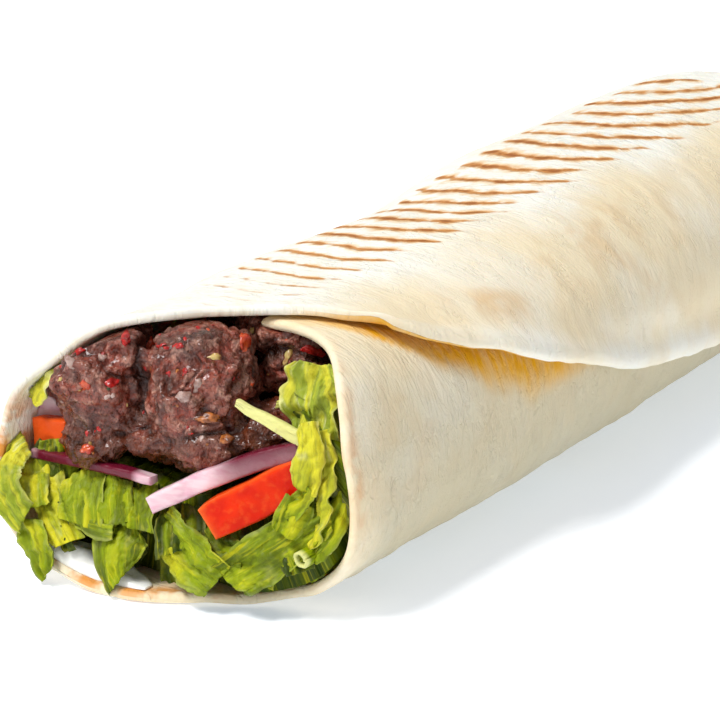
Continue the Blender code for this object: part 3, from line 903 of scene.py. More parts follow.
@dataclass
class Flatbread:
    """The rolled sheet of bread with its free flap, its mouth and its tucked end."""

    form: RollForm
    thickness: float = 2.2
    layer_gap: float = 1.0
    lift_depth: float = 3.2
    lift_middle_y: float = 62.0
    lift_reach_y: float = 44.0
    lift_band: float = 26.0
    solid_columns: int = 48
    solid_rows: int = 12
    solid_cap_rows: int = 7
    pitch: float = 0.95
    cap_steps: int = 44
    edge_radius: float = 1.15
    lip_height: float = 0.7
    hem: float = 11.0
    hem_share: float = 0.12
    free_share: float = 0.1
    finish: BreadFinish = BreadFinish()

    def places(self, u: Array, v: Array, uneven: float) -> tuple[Array, Array, Array]:
        """Gives the arc and station of places on the sheet.

        Args:
            u: From the sheet's inner edge to its free edge, 0 to 1.
            v: From the mouth to the tucked end's middle, 0 to 1.
            uneven: How uneven the edges are, 0 for those of the solid.

        Returns:
            The arcs, the stations, and the arcs of the free edge beside them.
        """
        form = self.form
        cap_share = self.solid_cap_rows / (self.solid_rows + self.solid_cap_rows)
        share = np.clip(v / (1 - cap_share), 0, 1)
        waves = GradientNoise(11)
        hem = uneven * self.hem * np.clip(1 - u / self.hem_share, 0, 1)
        mouth = u * form.corner_arc - hem
        rim_shift = 0.5 * waves.at(stack(mouth, 0, 0), 14.0) + bent(mouth, RIM_SHIFTS, 3.5)
        rim = form.front_rim(mouth) + uneven * rim_shift
        corner = float(form.front_rim(np.array(form.corner_arc)))
        edge_station = corner + (form.cap_start - corner) * share
        ripple = 0.9 * waves.at(stack(edge_station, 7, 0), 24.0)
        ripple = ripple + 0.45 * waves.at(stack(edge_station, 9, 0), 8.0)
        trim = uneven * (ripple + bent(edge_station, FLAP_SHIFTS, 8.0))
        edge = form.flap_edge(edge_station)
        cap = np.clip((v - 1 + cap_share) / cap_share, 0, 1)
        over_end = form.cap_start + form.cap_span * (1 - (1 - cap) ** 1.6)
        station = np.where(v <= 1 - cap_share, rim + (form.cap_start - rim) * share, over_end)
        freed = np.clip((u - 1 + self.free_share) / self.free_share, 0, 1)
        return u * edge + trim * freed - hem, station, edge + trim

    def offset(self, arc: Array, station: Array, edge: Array) -> Array:
        """Gives how far the sheet's outer face stands off the first layer's."""
        form = self.form
        over = smoothstep((arc - form.perimeter + 62) / 58)
        near_edge = smoothstep((arc - edge + self.lift_band) / self.lift_band)
        lift = self.lift_depth * bell((station - self.lift_middle_y) / self.lift_reach_y) * near_edge
        return over * (self.thickness + self.layer_gap) + lift

    def solid_low_corner(self) -> Array:
        """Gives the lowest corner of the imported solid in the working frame."""
        u = np.linspace(0, 1, self.solid_columns + 1)
        v = np.linspace(0, 1, self.solid_rows + self.solid_cap_rows + 1)
        arc, station, edge = self.places(u[None, :], v[:, None], 0.0)
        point, out = self.form.point(arc, station), self.form.normal(arc, station)
        offset = self.offset(arc, station, edge)[..., None]
        faces = np.stack([point + out * offset, point + out * (offset - self.thickness)])
        return faces.reshape(-1, 3).min(axis=0)

    def build(self) -> bpy.types.Object:
        """Makes the bread."""
        form = self.form
        columns = shares_with_close_edges(form.corner_arc + 30, self.pitch, both=True)
        cap_share = self.solid_cap_rows / (self.solid_rows + self.solid_cap_rows)
        roll_rows = shares_with_close_edges(form.cap_start - form.rim_front, self.pitch, both=False)
        cap_rows = np.linspace(0, 1, self.cap_steps)[1:]
        v = np.concatenate([roll_rows * (1 - cap_share), 1 - cap_share + cap_rows * cap_share])
        u, v = np.meshgrid(columns, v)
        arc, station, flap = self.places(u, v, 1.0)
        point, out = form.point(arc, station), form.normal(arc, station)
        rim_depth = station - self.places(u, np.zeros_like(v), 1.0)[1]
        free_depth = flap - arc
        relief, fine = self.relief(arc, station, point, free_depth)
        middle = self.offset(arc, station, flap) - self.thickness / 2 + relief
        edge = np.minimum(np.minimum(arc + self.hem, free_depth), rim_depth)
        half = self.thickness / 2 * (0.04 + 0.96 * rounded(edge, self.edge_radius))
        outer = point + out * (middle + half + fine)[..., None]
        inner = point + out * (middle - half + 0.4 * fine)[..., None]
        outer[..., 2] = np.maximum(0.0, outer[..., 2])
        inner[..., 2] = np.maximum(0.05, inner[..., 2])
        build = MeshBuild()
        build.add_sheet(outer, inner, **self.marks(arc, station, point, rim_depth, flap))
        return build.finish("flatbread_sheet", self.finish.paint(), "flatbread", "flatbread")

    def relief(
        self, arc: Array, station: Array, point: Array, free_depth: Array
    ) -> tuple[Array, Array]:
        """Works out the bread's unevenness.

        Args:
            arc: Each place's arc.
            station: Each place's station.
            point: Each place's point on the first layer.
            free_depth: Its distance from the flap's free edge.

        Returns:
            The height that the whole sheet takes, and the wrinkles of its skin.
        """
        waves, wrinkles, crinkles = GradientNoise(21), GradientNoise(22), GradientNoise(23)
        flat = stack(arc, station, 0)
        broad = 0.55 * waves.at(flat, 34.0) + 0.28 * waves.at(flat, 13.0)
        lip = self.lip_height * hump(free_depth, 2.6, 2.2) - 0.4 * hump(free_depth, 8.5, 3.0)
        flap = smoothstep((arc - 196) / 16)
        pressed = smoothstep((point[..., 2] - 45) / 6) * smoothstep((14 - point[..., 0]) / 8)
        wander = 2.2 * waves.at(stack(arc, station, 5), 12.0)
        lines = wrinkles.at(stack(arc + wander, station + 1.3 * wander, 0), (13.0, 3.2, 1.0))
        lines = 0.30 * lines * (0.7 + 0.9 * wrinkles.at(stack(arc, station, 8), 26.0))
        crumple = 0.16 * crinkles.at(stack(arc + wander, station - wander, 3), (7.5, 3.0, 1.0))
        blisters = 0.35 * smoothstep((crinkles.at(flat, 7.0) - 0.45) / 0.35)
        skin = lines * (1 - 0.7 * flap) + crumple * (0.7 + 0.6 * flap) + blisters * (0.25 + 0.5 * flap)
        return (broad + lip * flap) * (1 - 0.5 * pressed), skin * (1 - 0.8 * pressed)

    def marks(
        self, arc: Array, station: Array, point: Array, rim_depth: Array, flap: Array
    ) -> dict[str, Array | tuple[Array, Array]]:
        """Works out what the finish reads: the sheet's axes, its coloured places and the grill's lines.

        Args:
            arc: Each place's arc.
            station: Each place's station.
            point: Each place's point on the first layer.
            rim_depth: Its distance from the mouth's rim.
            flap: The arc of the flap's free edge beside it.

        Returns:
            For each mark, its grid, or its grids on the outer and the inner face.
        """
        form = self.form
        nothing = np.zeros_like(arc)
        free_depth = flap - arc
        along = np.clip(station, form.rim_front, form.cap_start)
        # Painted shade: the warm golden shadow that the flap casts past its free edge onto the layer below,
        # and on the flap's own underside near that edge.
        free_line = form.flap_edge(along) + bent(station, FLAP_SHIFTS, 8.0)
        past_flap = arc + form.perimeter - free_line
        streaks = GradientNoise(31)
        ragged = streaks.at(stack(station, arc / 9, 0), 7.0)
        ragged = ragged + 0.6 * streaks.at(stack(station, arc / 9, 4), 2.6)
        window = smoothstep((station - 14) / 16) * smoothstep((96 - station) / 22)
        width = (1.6 + 7.5 * bell((station - 60) / 36)) * (1 + 0.4 * ragged)
        painted_flap_shade = (1 - smoothstep((past_flap - 0.2) / width)) * window * smoothstep((past_flap + 26) / 12)
        painted_flap_shade = painted_flap_shade * smoothstep((120 - arc) / 20)
        under_flap = smoothstep((16 - free_depth) / 12) * window * smoothstep((arc - 190) / 10)
        on_flap = smoothstep((arc - 205) / 20)
        middle_patch = bell((station - 60) / 17) * bell((free_depth - 12.5) / 7.5)
        far_patch = 0.75 * bell((station - 112) / 46) * bell((free_depth - 26) / 24)
        top_patch = 0.3 * bell((arc - 26) / 30) * smoothstep((40 - station) / 20)
        toast = on_flap * np.maximum(1.25 * middle_patch, far_patch) + top_patch + 0.14
        cream = 0.08 + on_flap * (0.42 + 0.3 * smoothstep((free_depth - 3) / 5))
        cream = cream + 0.75 * smoothstep((150 - arc) / 30)
        lower = bell((arc - 106) / 40)
        left = bell((arc - 143) / 18)
        rim_oil = hump(rim_depth, 1.6, 1.5) * (0.12 + 1.15 * lower + 0.9 * bell((arc - 30) / 26))
        wall_oil = smoothstep((18 - rim_depth) / 14) * left + 0.5 * smoothstep((12 - rim_depth) / 8) * lower
        row, char = self.grill_marks(point, arc, station)
        return {
            "arc": arc * MM,
            "station": station * MM,
            "flap": (on_flap, nothing),
            # painted shade: the lower wall darker towards the floor
            "low": (0.75 * bell((arc - 52) / 44) * smoothstep(rim_depth / 14), nothing),
            "cream": (cream, np.minimum(1.0, cream + 0.3)),
            "toast": (toast, 0.3 * toast),
            # painted shade under the flap, on the outer and the inner face
            "painted_flap_shade": (0.95 * painted_flap_shade, 0.85 * under_flap),
            "oil": (0.45 * rim_oil, np.clip(0.8 * rim_oil + wall_oil, 0, 1)),
            "grill_row": (row, nothing + 0.5),
            "char": (char, nothing),
        }

    def grill_marks(self, point: Array, arc: Array, station: Array) -> tuple[Array, Array]:
        """Places the grill's lines on the flat top.

        Args:
            point: Each place's point on the first layer.
            arc: Each place's arc.
            station: Each place's station.

        Returns:
            The number of the line nearest to each place, as a smooth number, and how charred it is.
        """
        x, y = point[..., 0], point[..., 1]
        lowest_x = 3 - 13 * (np.clip(y - 75, 0, None) / 125) ** 2
        bow = np.where(x < lowest_x, 0.018, 0.038) * (x - lowest_x) ** 2
        first_y, pitch, widening = 26.3, 6.21, 0.121
        reach = pitch**2 + 4 * widening * (y - bow - first_y)
        row = (np.sqrt(np.maximum(0.01, reach)) - pitch) / (2 * widening)
        rows = np.arange(-3, 25)
        draw = np.random.default_rng(5)
        strong = 0.42 + 0.50 * smoothstep((rows - 1) / 5) + draw.uniform(-0.14, 0.14, rows.size)
        strong = np.where(rows < 1, 0.20 + 0.05 * rows, strong)
        left = np.interp(row, rows, -18.5 + draw.uniform(-2.0, 2.0, rows.size))
        right_ends = 15.5 - 2.5 * smoothstep((6 - rows) / 6) + draw.uniform(-2.0, 2.0, rows.size)
        right = np.interp(row, rows, right_ends)
        ends = smoothstep((x - left) / 2.5) * smoothstep((right - x) / 7.0)
        char = np.interp(row, rows, strong) * ends
        for number, middle, reach_x, extra in GRILL_HEADS:
            char += extra * bell((row - number) / 0.7) * bell((x - middle) / reach_x)
        first, last = form_top(self.form)
        on_top = (arc > first) * (arc < last) * (station < self.form.cap_start - 4)
        return row, np.clip(char, 0, 1.6) * on_top


def form_top(form: RollForm) -> tuple[float, float]:
    """Gives the arcs between which the outer layer makes the roll's flat top."""
    return form.perimeter - 55, form.perimeter + 12


# Kebab


@dataclass(frozen=True)
class Lump:
    """One pressed lump of minced meat."""

    middle: Place
    radii: Place
    seed: int

    def shape(self, sphere: Array) -> Array:
        """Gives the lump's points from those of a ball of radius one."""
        middle, radii = np.array(self.middle), np.array(self.radii)
        swelling = [self.swell(Vector(middle + place * radii)) for place in sphere]
        return middle + sphere * radii * (1 + np.array(swelling))[:, None]

    def swell(self, point: Vector) -> float:
        """Gives the share by which the lump stands out at a point."""
        step = Vector((7.3, 3.1, 5.7))
        broad = noise.noise(point / 9 + step * self.seed)
        return 0.20 * broad + 0.09 * noise.noise(point / 4.5 + step * (self.seed + 3))


@dataclass
class Kebab:
    """The minced kebab: the lobes at the mouth and the long rest of it inside the roll."""

    form: RollForm
    front_lumps: tuple[Lump, ...] = (
        Lump((-23.0, 8.5, 38.0), (12.5, 13.5, 14.0), 1),
        Lump((-3.0, 10.5, 39.5), (11.5, 13.0, 14.5), 2),
        Lump((-22.5, 3.5, 28.0), (8.5, 8.0, 6.5), 3),
        Lump((1.0, 8.0, 29.0), (10.5, 9.5, 7.0), 4),
        Lump((12.0, 15.0, 31.5), (11.0, 10.0, 6.5), 5),
        Lump((-11.5, 9.0, 29.5), (9.5, 9.0, 7.0), 14),
    )
    rear_first: Lump = Lump((9.5, 35.0, 42.0), (14.0, 18.0, 9.5), 6)
    rear_top: Lump = Lump((7.0, 27.0, 46.5), (13.0, 9.0, 8.0), 15)
    ridges: int = 7
    ridge_pitch: float = 23.5
    front_grain: float = 0.42
    rear_grain: float = 0.62
    margin: float = 2.75
    finish: MeatFinish = MeatFinish()

    def rear_lumps(self) -> list[Lump]:
        """Gives the lump that shows behind on the right, and finger-pressed ridges through the roll."""
        lumps = [self.rear_first, self.rear_top]
        for ridge in range(self.ridges):
            middle = (-1.0 + 1.5 * math.sin(ridge * 1.7), 45.0 + self.ridge_pitch * ridge, 35.5)
            lumps.append(Lump(middle, (22.0 - 0.4 * ridge, 16.0, 11.5), 7 + ridge))
        return lumps

    def build(self) -> list[bpy.types.Object]:
        """Makes both pieces."""
        material = self.finish.paint()
        front = self.body("kebab_lobes", list(self.front_lumps), self.front_grain, material, "kebab_front")
        rear = self.body("kebab_inside", self.rear_lumps(), self.rear_grain, material, "kebab_rear")
        return [front, rear]

    def body(
        self, name: str, lumps: list[Lump], grain: float, material: bpy.types.Material, node: str
    ) -> bpy.types.Object:
        """Fuses lumps and raises the mince's grains on them.

        Args:
            name: The piece's name.
            lumps: Its lumps.
            grain: The size of its mesh's faces.
            material: Its finish.
            node: The node that it stands for.

        Returns:
            The piece.
        """
        sphere, faces = ball(5)
        rough = MeshBuild()
        for lump in lumps:
            rough.add(lump.shape(sphere), faces)
        blank = bpy.data.meshes.new(name + "_rough")
        blank.from_pydata(np.concatenate(rough.points).tolist(), [], rough.faces)
        holder = bpy.data.objects.new(name + "_rough", blank)
        show(holder)
        remesh = holder.modifiers.new("fuse", "REMESH")
        remesh.mode = "VOXEL"
        remesh.voxel_size = grain
        smooth = holder.modifiers.new("soften", "SMOOTH")
        smooth.iterations = 3
        graph = bpy.context.evaluated_depsgraph_get()
        fused = bpy.data.meshes.new_from_object(holder.evaluated_get(graph))
        bpy.data.objects.remove(holder)
        points, normals = points_of(fused)
        quads = np.array([list(face.vertices) for face in fused.polygons])
        bpy.data.meshes.remove(fused)
        height, hollow, crest = self.mince(points, lumps)
        points = self.form.hold_inside(points + normals * height[:, None], self.margin)
        build = MeshBuild()
        juice = smoothstep((35 - points[:, 2]) / 9)
        juice = np.maximum(juice, smoothstep((points[:, 0] - 4) / 6) * smoothstep((41 - points[:, 2]) / 6))
        # The hollow mark is painted shade and the crest mark a painted highlight.
        build.add(points, quads, hollow=hollow, juice=juice, crest=crest)
        return build.finish(name, material, "meat", node)

    def mince(self, points: Array, lumps: list[Lump]) -> tuple[Array, Array, Array]:
        """Works out the mince's relief.

        Args:
            points: The smooth lumps' points.
            lumps: The lumps.

        Returns:
            How far each point rises, how much painted shade it takes in a hollow and how much painted
            highlight it takes near a grain's top, both from 0 to 1.
        """
        knobs, grains = GradientNoise(41), GradientNoise(42)
        offsets = [(points - np.array(lump.middle)) / np.array(lump.radii) for lump in lumps]
        near = np.sort(np.linalg.norm(offsets, axis=2), axis=0)
        upright = 0.25 + 0.75 * smoothstep((points[:, 2] - 30.0) / 5.0)
        seam = upright * (1 - smoothstep((near[1] - near[0]) / 0.14))
        bent_points = points + 0.9 * stack(*(grains.at(points + shift, 3.0) for shift in (0, 7, 13)))
        bumps = np.array([noise.voronoi(Vector(place / 2.1))[0][0] for place in bent_points])
        folds = np.abs(knobs.at(points, 11.0))
        pits = smoothstep((0.12 - knobs.at(points + 40, 5.0)) / 0.5)
        ridges = 1 - 2 * np.abs(knobs.at(bent_points + 60, 5.5))
        fine = 0.2 * ridges + 0.6 * knobs.at(points + 20, 3.4) + 1.1 * (0.5 - bumps)
        fine = fine + 0.35 * grains.at(points, 1.5)
        height = 1.2 * knobs.at(points, 8.0) + fine - 0.8 * (1 - smoothstep(folds / 0.12)) - 1.4 * seam - 0.85
        # Painted highlight: how near each point is to a grain's top.
        crest = smoothstep((fine + 0.05) / 0.75)
        # Painted shade: darker in the hollows between grains, at the seams between lumps, in the folds and in
        # the pits.
        hollow = 0.45 * (1 - smoothstep((fine + 0.55) / 0.5)) + 0.75 * seam
        hollow = hollow + 0.5 * (1 - smoothstep(folds / 0.09)) + 0.30 * smoothstep((pits - 0.75) / 0.25)
        return height, np.clip(hollow, 0, 0.92), crest


@dataclass(frozen=True)
class Fleck:
    """A fleck on the kebab's face; its place is where the line of sight to it crosses the mouth."""

    kind: FleckKind
    x: float
    z: float
    length: float
    width: float
    turn: float


@dataclass
class KebabFlecks:
    """Chilli, pepper, seeds, fat and crisp bits pressed into the kebab's grilled face."""

    kebab: list[bpy.types.Object]
    placed: tuple[Fleck, ...] = ()
    scattered: int = 70
    sight: Place = (-0.501, 0.802, -0.326)
    seed: int = 61

    def build(self) -> list[bpy.types.Object]:
        """Makes one piece for each kind of fleck."""
        blank = ball(3)
        builds = {kind: MeshBuild() for kind in FleckKind}
        trees = [BVHTree.FromPolygons(*self.shell(piece)) for piece in self.kebab]
        for number, fleck in enumerate(self.placed):
            hit = self.face_point(trees, fleck.x, fleck.z)
            if hit:
                self.press(builds[fleck.kind], blank, hit, (fleck.length, fleck.width, fleck.turn), number)
        self.scatter(builds, trees, blank)
        return [
            build.finish("flecks_" + kind.name.lower(), FleckFinish(kind).paint(), "meat")
            for kind, build in builds.items()
            if build.count
        ]

    @staticmethod
    def shell(piece: bpy.types.Object) -> tuple[list[Vector], list[tuple[int, ...]]]:
        """Gives a piece's points in the working frame and its faces."""
        shift = Vector(MeshBuild.shift)
        points = [vert.co / MM - shift for vert in piece.data.vertices]
        return points, [tuple(face.vertices) for face in piece.data.polygons]

    def face_point(self, trees: list[BVHTree], x: float, z: float) -> tuple[Vector, Vector] | None:
        """Finds the first place on the kebab behind a point of the mouth, along the line of sight."""
        sight = Vector(self.sight)
        hits = [tree.ray_cast(Vector((x, 0, z)) - sight * 40, sight) for tree in trees]
        found = [(hit[3], hit[0], hit[1]) for hit in hits if hit[0] is not None]
        if not found:
            return None
        nearest = min(found, key=lambda item: item[0])
        return nearest[1], nearest[2]

    def scatter(
        self, builds: dict[FleckKind, MeshBuild], trees: list[BVHTree], blank: tuple[Array, Array]
    ) -> None:
        """Scatters small flecks over what shows of the kebab.

        Args:
            builds: The meshes to add to.
            trees: The kebab's surfaces.
            blank: A ball's points and faces.
        """
        draw = np.random.default_rng(self.seed)
        kinds = list(FleckKind)
        for number in range(self.scattered):
            kind = kinds[int(draw.choice(len(kinds), p=(0.30, 0.16, 0.08, 0.24, 0.18, 0.04)))]
            x, z = draw.uniform(-34, 30), draw.uniform(24, 57)
            length, width, turn = draw.uniform(0.5, 1.5), draw.uniform(0.4, 0.8), draw.uniform(0, 180)
            hit = self.face_point(trees, x, z)
            if hit and hit[0].y < 40:
                self.press(builds[kind], blank, hit, (length, length * width, turn), 100 + number)

    @staticmethod
    def press(
        build: MeshBuild, blank: tuple[Array, Array], hit: tuple[Vector, Vector], size: Place, seed: int
    ) -> None:
        """Presses one flake into the surface.

        Args:
            build: The mesh to add to.
            blank: A ball's points and faces.
            hit: Where the flake lies, and the surface's outward direction there.
            size: The flake's length, its width and its turn on the surface, in degrees.
            seed: The seed of its unevenness.
        """
        (sphere, faces), (place, out), (length, width, turn) = blank, hit, size
        lean = out.to_track_quat("Z", "Y").to_matrix() @ Matrix.Rotation(math.radians(turn), 3, "Z")
        field = GradientNoise(seed)
        uneven = 1 + 0.45 * field.at(sphere + seed, 1.0) + 0.25 * field.at(sphere + seed, 0.45)
        flat = sphere * np.array([length / 2, width / 2, min(0.9, width * 0.26)]) * uneven[:, None]
        flat[:, 2] += 0.15 * np.sin(flat[:, 0] * 2.2) + 0.08 * field.at(flat, 0.8)
        build.add(flat @ np.array(lean).T + np.array(place - out * 0.05), faces)


# Lettuce


def through(first: object, middle: object, last: object, share: Array) -> Array:
    """Gives values on the smooth curve through three values, at shares 0, a half and 1."""
    start = first * (2 * share - 1) * (share - 1)
    return start + middle * 4 * share * (1 - share) + last * share * (2 * share - 1)


@dataclass(frozen=True)
class Leaf:
    """One cut, pleated piece of lettuce leaf, from its root over its middle to its tip."""

    root: Place
    middle: Place
    tip: Place
    widths: Place
    turn: float = 0.0
    twist: float = 0.0
    cup: float = 0.6
    pleat: float = 2.1
    pleat_depth: float = 0.5
    frill: float = 0.0
    slant: float = 0.0
    crinkle: float = 0.35
    seed: int = 0
    tone: float = 0.5
    pale: float = 0.2
    thickness: float = 0.75
    margin: float = 2.6
    grain: float = 0.33

    def add_to(self, build: MeshBuild, form: RollForm) -> None:
        """Adds the leaf to a mesh.

        Args:
            build: The mesh.
            form: The roll that the leaf stays inside.
        """
        root, middle, tip = (np.array(place, float) for place in (self.root, self.middle, self.tip))
        length = float(np.linalg.norm(middle - root) + np.linalg.norm(tip - middle))
        wide = max(self.widths)
        columns = np.linspace(0, 1, max(8, int(wide / self.grain)))
        rows = np.linspace(0, 1, max(10, int(length / self.grain)))
        u, v = np.meshgrid(columns, rows)
        share = v[..., None]
        spine = through(root, middle, tip, share)
        along = unit(root * (4 * share - 3) + middle * (4 - 8 * share) + tip * (4 * share - 1))
        outward = np.array([0.15, -1, 0.3])
        front = unit(outward - along * (along @ outward)[..., None])
        turn = np.radians(self.turn + self.twist * (v - 0.5))[..., None]
        front = front * np.cos(turn) + np.cross(along, front) * np.sin(turn)
        side = np.cross(along, front)
        field = GradientNoise(300 + self.seed)
        flat = stack(u * wide, v * length, self.seed)
        width = through(*self.widths, v)
        rim = np.abs(2 * u - 1)
        across = (u - 0.5) * width + (0.7 * field.at(flat, 4.5) + 0.2 * field.at(flat, 1.6)) * rim**3
        fold = field.at(stack(u * wide + 0.8 * field.at(flat, 8.0), v * length * 0.22, 40), self.pleat)
        crease = 1 - smoothstep(np.abs(fold) / 0.16)
        crumple = np.abs(field.at(flat + 30, 3.2)) + 0.5 * np.abs(field.at(flat + 50, 1.7))
        rise = self.cup * (1 - rim**2) + self.pleat_depth * (3.2 * np.abs(fold) - 0.8) + 1.3 * crumple
        rise += self.crinkle * field.at(flat, 3.6) + 0.55 * field.at(flat + 9, 7.0)
        rise += 0.08 * field.at(flat, 1.3)
        rise += self.frill * np.sin(v * length / 0.9 + 3 * field.at(flat, 5.0)) * rim**2.5
        cut = self.slant * (u - 0.5) * (2 * v - 1) + 0.2 * field.at(flat + 60, 2.0) * (2 * v - 1)
        sheet = spine + along * cut[..., None] + side * across[..., None] + front * rise[..., None]
        edge = 1 - np.maximum(rim, np.abs(2 * v - 1)) ** 8
        thick = self.thickness * (0.15 + 0.85 * np.sqrt(np.clip(edge, 0, 1)))
        faces = (sheet, sheet - front * thick[..., None])
        mouth = form.rim_front + 0.6
        outer, inner = (
            np.where(face[..., 1:2] > mouth, form.hold_inside(face, self.margin), face) for face in faces
        )
        veined = crease * smoothstep(field.at(flat + 3, 5.0) / 0.3)
        pale = 0.15 + 0.5 * smoothstep((rim - 0.86) / 0.1) + 0.8 * veined
        rib = np.clip(self.pale * pale * (1.2 - 0.5 * v), 0, 1)
        # Painted light and shade: a pleat's facets lighter on one side of a fold and darker on the other, and
        # the creases darker.
        facet_shade = 0.06 * np.tanh(fold / 0.07) + 0.26 * fold
        tone = np.clip(self.tone + facet_shade + 0.10 * field.at(flat, 5.0) - 0.12 * crease + 0.1 * (0.5 - v), 0, 1)
        place = {"arc": (u * wide + 31 * self.seed) * MM, "station": v * length * MM}
        build.add_sheet(outer, inner, rib=rib, tone=(tone, 0.7 * tone), **place)


LEAVES = (
    Leaf(
        (-36.2, -2.0, 25.0), (-36.7, -8.9, 20.0), (-30.5, -10.2, 13.0), (6, 8.5, 7), 10,
        seed=1, tone=0.72, pale=0.7, slant=2,
    ),
    Leaf(
        (-36.5, 1.0, 21.7), (-34.2, -4.5, 18.2), (-30.6, -8.4, 13.8), (7, 8.5, 8), -12,
        seed=2, tone=0.76, pale=0.4,
    ),
    Leaf(
        (-31.3, 0.0, 20.2), (-28.2, -4.9, 14.6), (-22.4, -7.6, 8.6), (5.5, 7.5, 6.0), -6,
        cup=0.5, pleat=2.6, seed=3, tone=0.84, slant=-2, pale=0.4,
    ),
    Leaf(
        (-23.3, -0.5, 21.2), (-21.5, -4.2, 17.2), (-20.2, -6.3, 12.6), (9, 10.5, 10.5), 6,
        cup=1.0, seed=4, tone=0.58, slant=-3, pale=0.35,
    ),
    Leaf(
        (-17.2, 0.0, 20.5), (-15.2, -3.4, 17.3), (-14.0, -5.2, 13.2), (8.5, 9, 9), -10,
        seed=5, tone=0.42, slant=2,
    ),
    Leaf(
        (-10.8, 1.0, 19.6), (-9.3, -2.6, 17.2), (-8.2, -4.6, 13.6), (7, 8.5, 8), 8,
        seed=6, tone=0.46, slant=-2,
    ),
    Leaf(
        (-11.6, -1.5, 13.4), (-11.4, -5.6, 9.0), (-9.4, -8.0, 3.9), (9.5, 12.0, 7.5), 4,
        cup=0.6, pleat=2.4, seed=7, tone=0.42, slant=5,
    ),
    Leaf(
        (-1.8, 1.5, 17.9), (0.0, -2.0, 14.6), (1.4, -4.8, 10.6), (8, 10, 9), -12,
        cup=0.5, seed=8, tone=0.2, slant=3,
    ),
    Leaf(
        (-3.4, -1.8, 15.0), (3.6, -4.8, 10.8), (11.6, -6.0, 7.4), (8, 11, 9), 14,
        cup=0.5, pleat=2.6, seed=9, tone=0.6, crinkle=0.9, slant=-3,
    ),
    Leaf(
        (31.2, 3.0, 22.4), (22.6, -2.2, 15.0), (13.4, -4.6, 7.6), (7, 10.5, 9), -8,
        cup=0.6, pleat=2.6, seed=10, tone=0.48, crinkle=0.8, slant=3,
    ),
    Leaf(
        (27.8, 5.5, 37.7), (30.6, 2.6, 26.9), (29.6, -0.5, 15.9), (3, 4, 3), 10, 40,
        frill=0.7, seed=11, tone=0.86, pale=0.5,
    ),
    Leaf(
        (32.5, 7.0, 26.0), (32.3, 3.0, 20.3), (29.6, -0.8, 13.6), (3, 4.5, 3), -14,
        seed=12, tone=0.55, pale=0.2,
    ),
    Leaf(
        (22.8, 11.0, 48.5), (24.2, 8.0, 42.1), (27.0, 6.5, 34.0), (9, 12, 9), 6, 20,
        frill=1.6, crinkle=1.7, seed=13, tone=0.66, pale=0.8,
    ),
    Leaf(
        (26.2, 3.5, 39.4), (27.6, 1.6, 33.7), (26.9, 1.0, 27.0), (3.8, 6.2, 5.4), -6,
        cup=1.0, pleat=3.0, seed=14, tone=0.95, pale=0.55,
    ),
    Leaf(
        (-31.0, -8.6, 12.4), (-27.8, -10.0, 7.6), (-25.4, -10.5, 2.6), (6, 6.5, 4.5), 12,
        cup=0.3, seed=15, tone=0.56, slant=3,
    ),
    Leaf(
        (-26.6, -3.2, 14.6), (-24.4, -6.0, 11.0), (-22.4, -7.0, 7.0), (2.5, 3.5, 3), 25,
        seed=17, tone=0.16,
    ),
    Leaf(
        (-22.5, -5.0, 13.6), (-17.4, -6.4, 12.4), (-12.6, -6.2, 12.4), (2.6, 3.6, 3), 0,
        seed=18, tone=0.5, pale=0.3,
    ),
    Leaf(
        (4.5, 0.0, 13.4), (9.3, -2.6, 12.0), (15.5, -3.4, 12.6), (7, 7, 6), 0,
        seed=19, tone=0.3,
    ),
    Leaf(
        (19.0, 9.0, 42.0), (22.5, 8.0, 39.5), (25.5, 7.0, 36.0), (3.5, 5, 4), 20,
        seed=20, tone=0.2, frill=0.5,
    ),
)
SLIVER = Leaf(
    (-27.8, 2.0, 44.5), (-32.2, 0.6, 39.5), (-35.2, -0.3, 33.4), (2.0, 4.2, 4.6), 34,
    cup=0.4, seed=16, tone=0.9, pale=1.0, frill=0.2, pleat=4.0,
)


@dataclass(frozen=True)
class Slice:
    """A bar cut from a vegetable: its near face looks to the mouth, and it reaches back from it."""

    start: Place
    end: Place
    height: float
    depth: float
    bow: float = 0.0
    taper: float = 0.0
    seed: int = 0
    grain: float = 0.3
    round_edge: float = 0.55

    def grids(self) -> tuple[Array, Array, Array, Array]:
        """Gives the near and the far face, with their shares along and up the bar."""
        start, end = np.array(self.start, float), np.array(self.end, float)
        length = float(np.linalg.norm(end - start))
        columns = shares_with_close_edges(length, self.grain, both=True)
        rows = shares_with_close_edges(max(4.5, self.height), self.grain, both=True)
        u, v = np.meshgrid(columns, rows)
        along = unit(end - start)
        up = unit(np.array([0, 0, 1.0]) - along * along[2])
        back = np.cross(along, up)
        back = back if back[1] > 0 else -back
        field = GradientNoise(400 + self.seed)
        flat = stack(u * length, v * self.height, self.seed)
        width = self.height * (1 - self.taper * (1 - u)) * (1 - 0.12 * (2 * u - 1) ** 4)
        middle = start + (end - start) * u[..., None]
        raised = (v - 0.5) * width
        bowed = self.bow * 4 * u * (1 - u) + 0.25 * field.at(stack(u * length, 0, 5), 7.0)
        edge = np.minimum(np.minimum(u, 1 - u) * length, np.minimum(v, 1 - v) * self.height)
        drop = self.round_edge * (1 - rounded(edge, self.round_edge))
        near = 0.35 * field.at(flat, 5.0) + 0.08 * field.at(flat, 1.2) + drop
        far = self.depth + 0.35 * field.at(flat + 20, 4.0) - drop
        outer = middle + up * (raised + bowed)[..., None] + back * near[..., None]
        inner = middle + up * (raised * 0.84 + bowed)[..., None] + back * far[..., None]
        return outer, inner, u, v


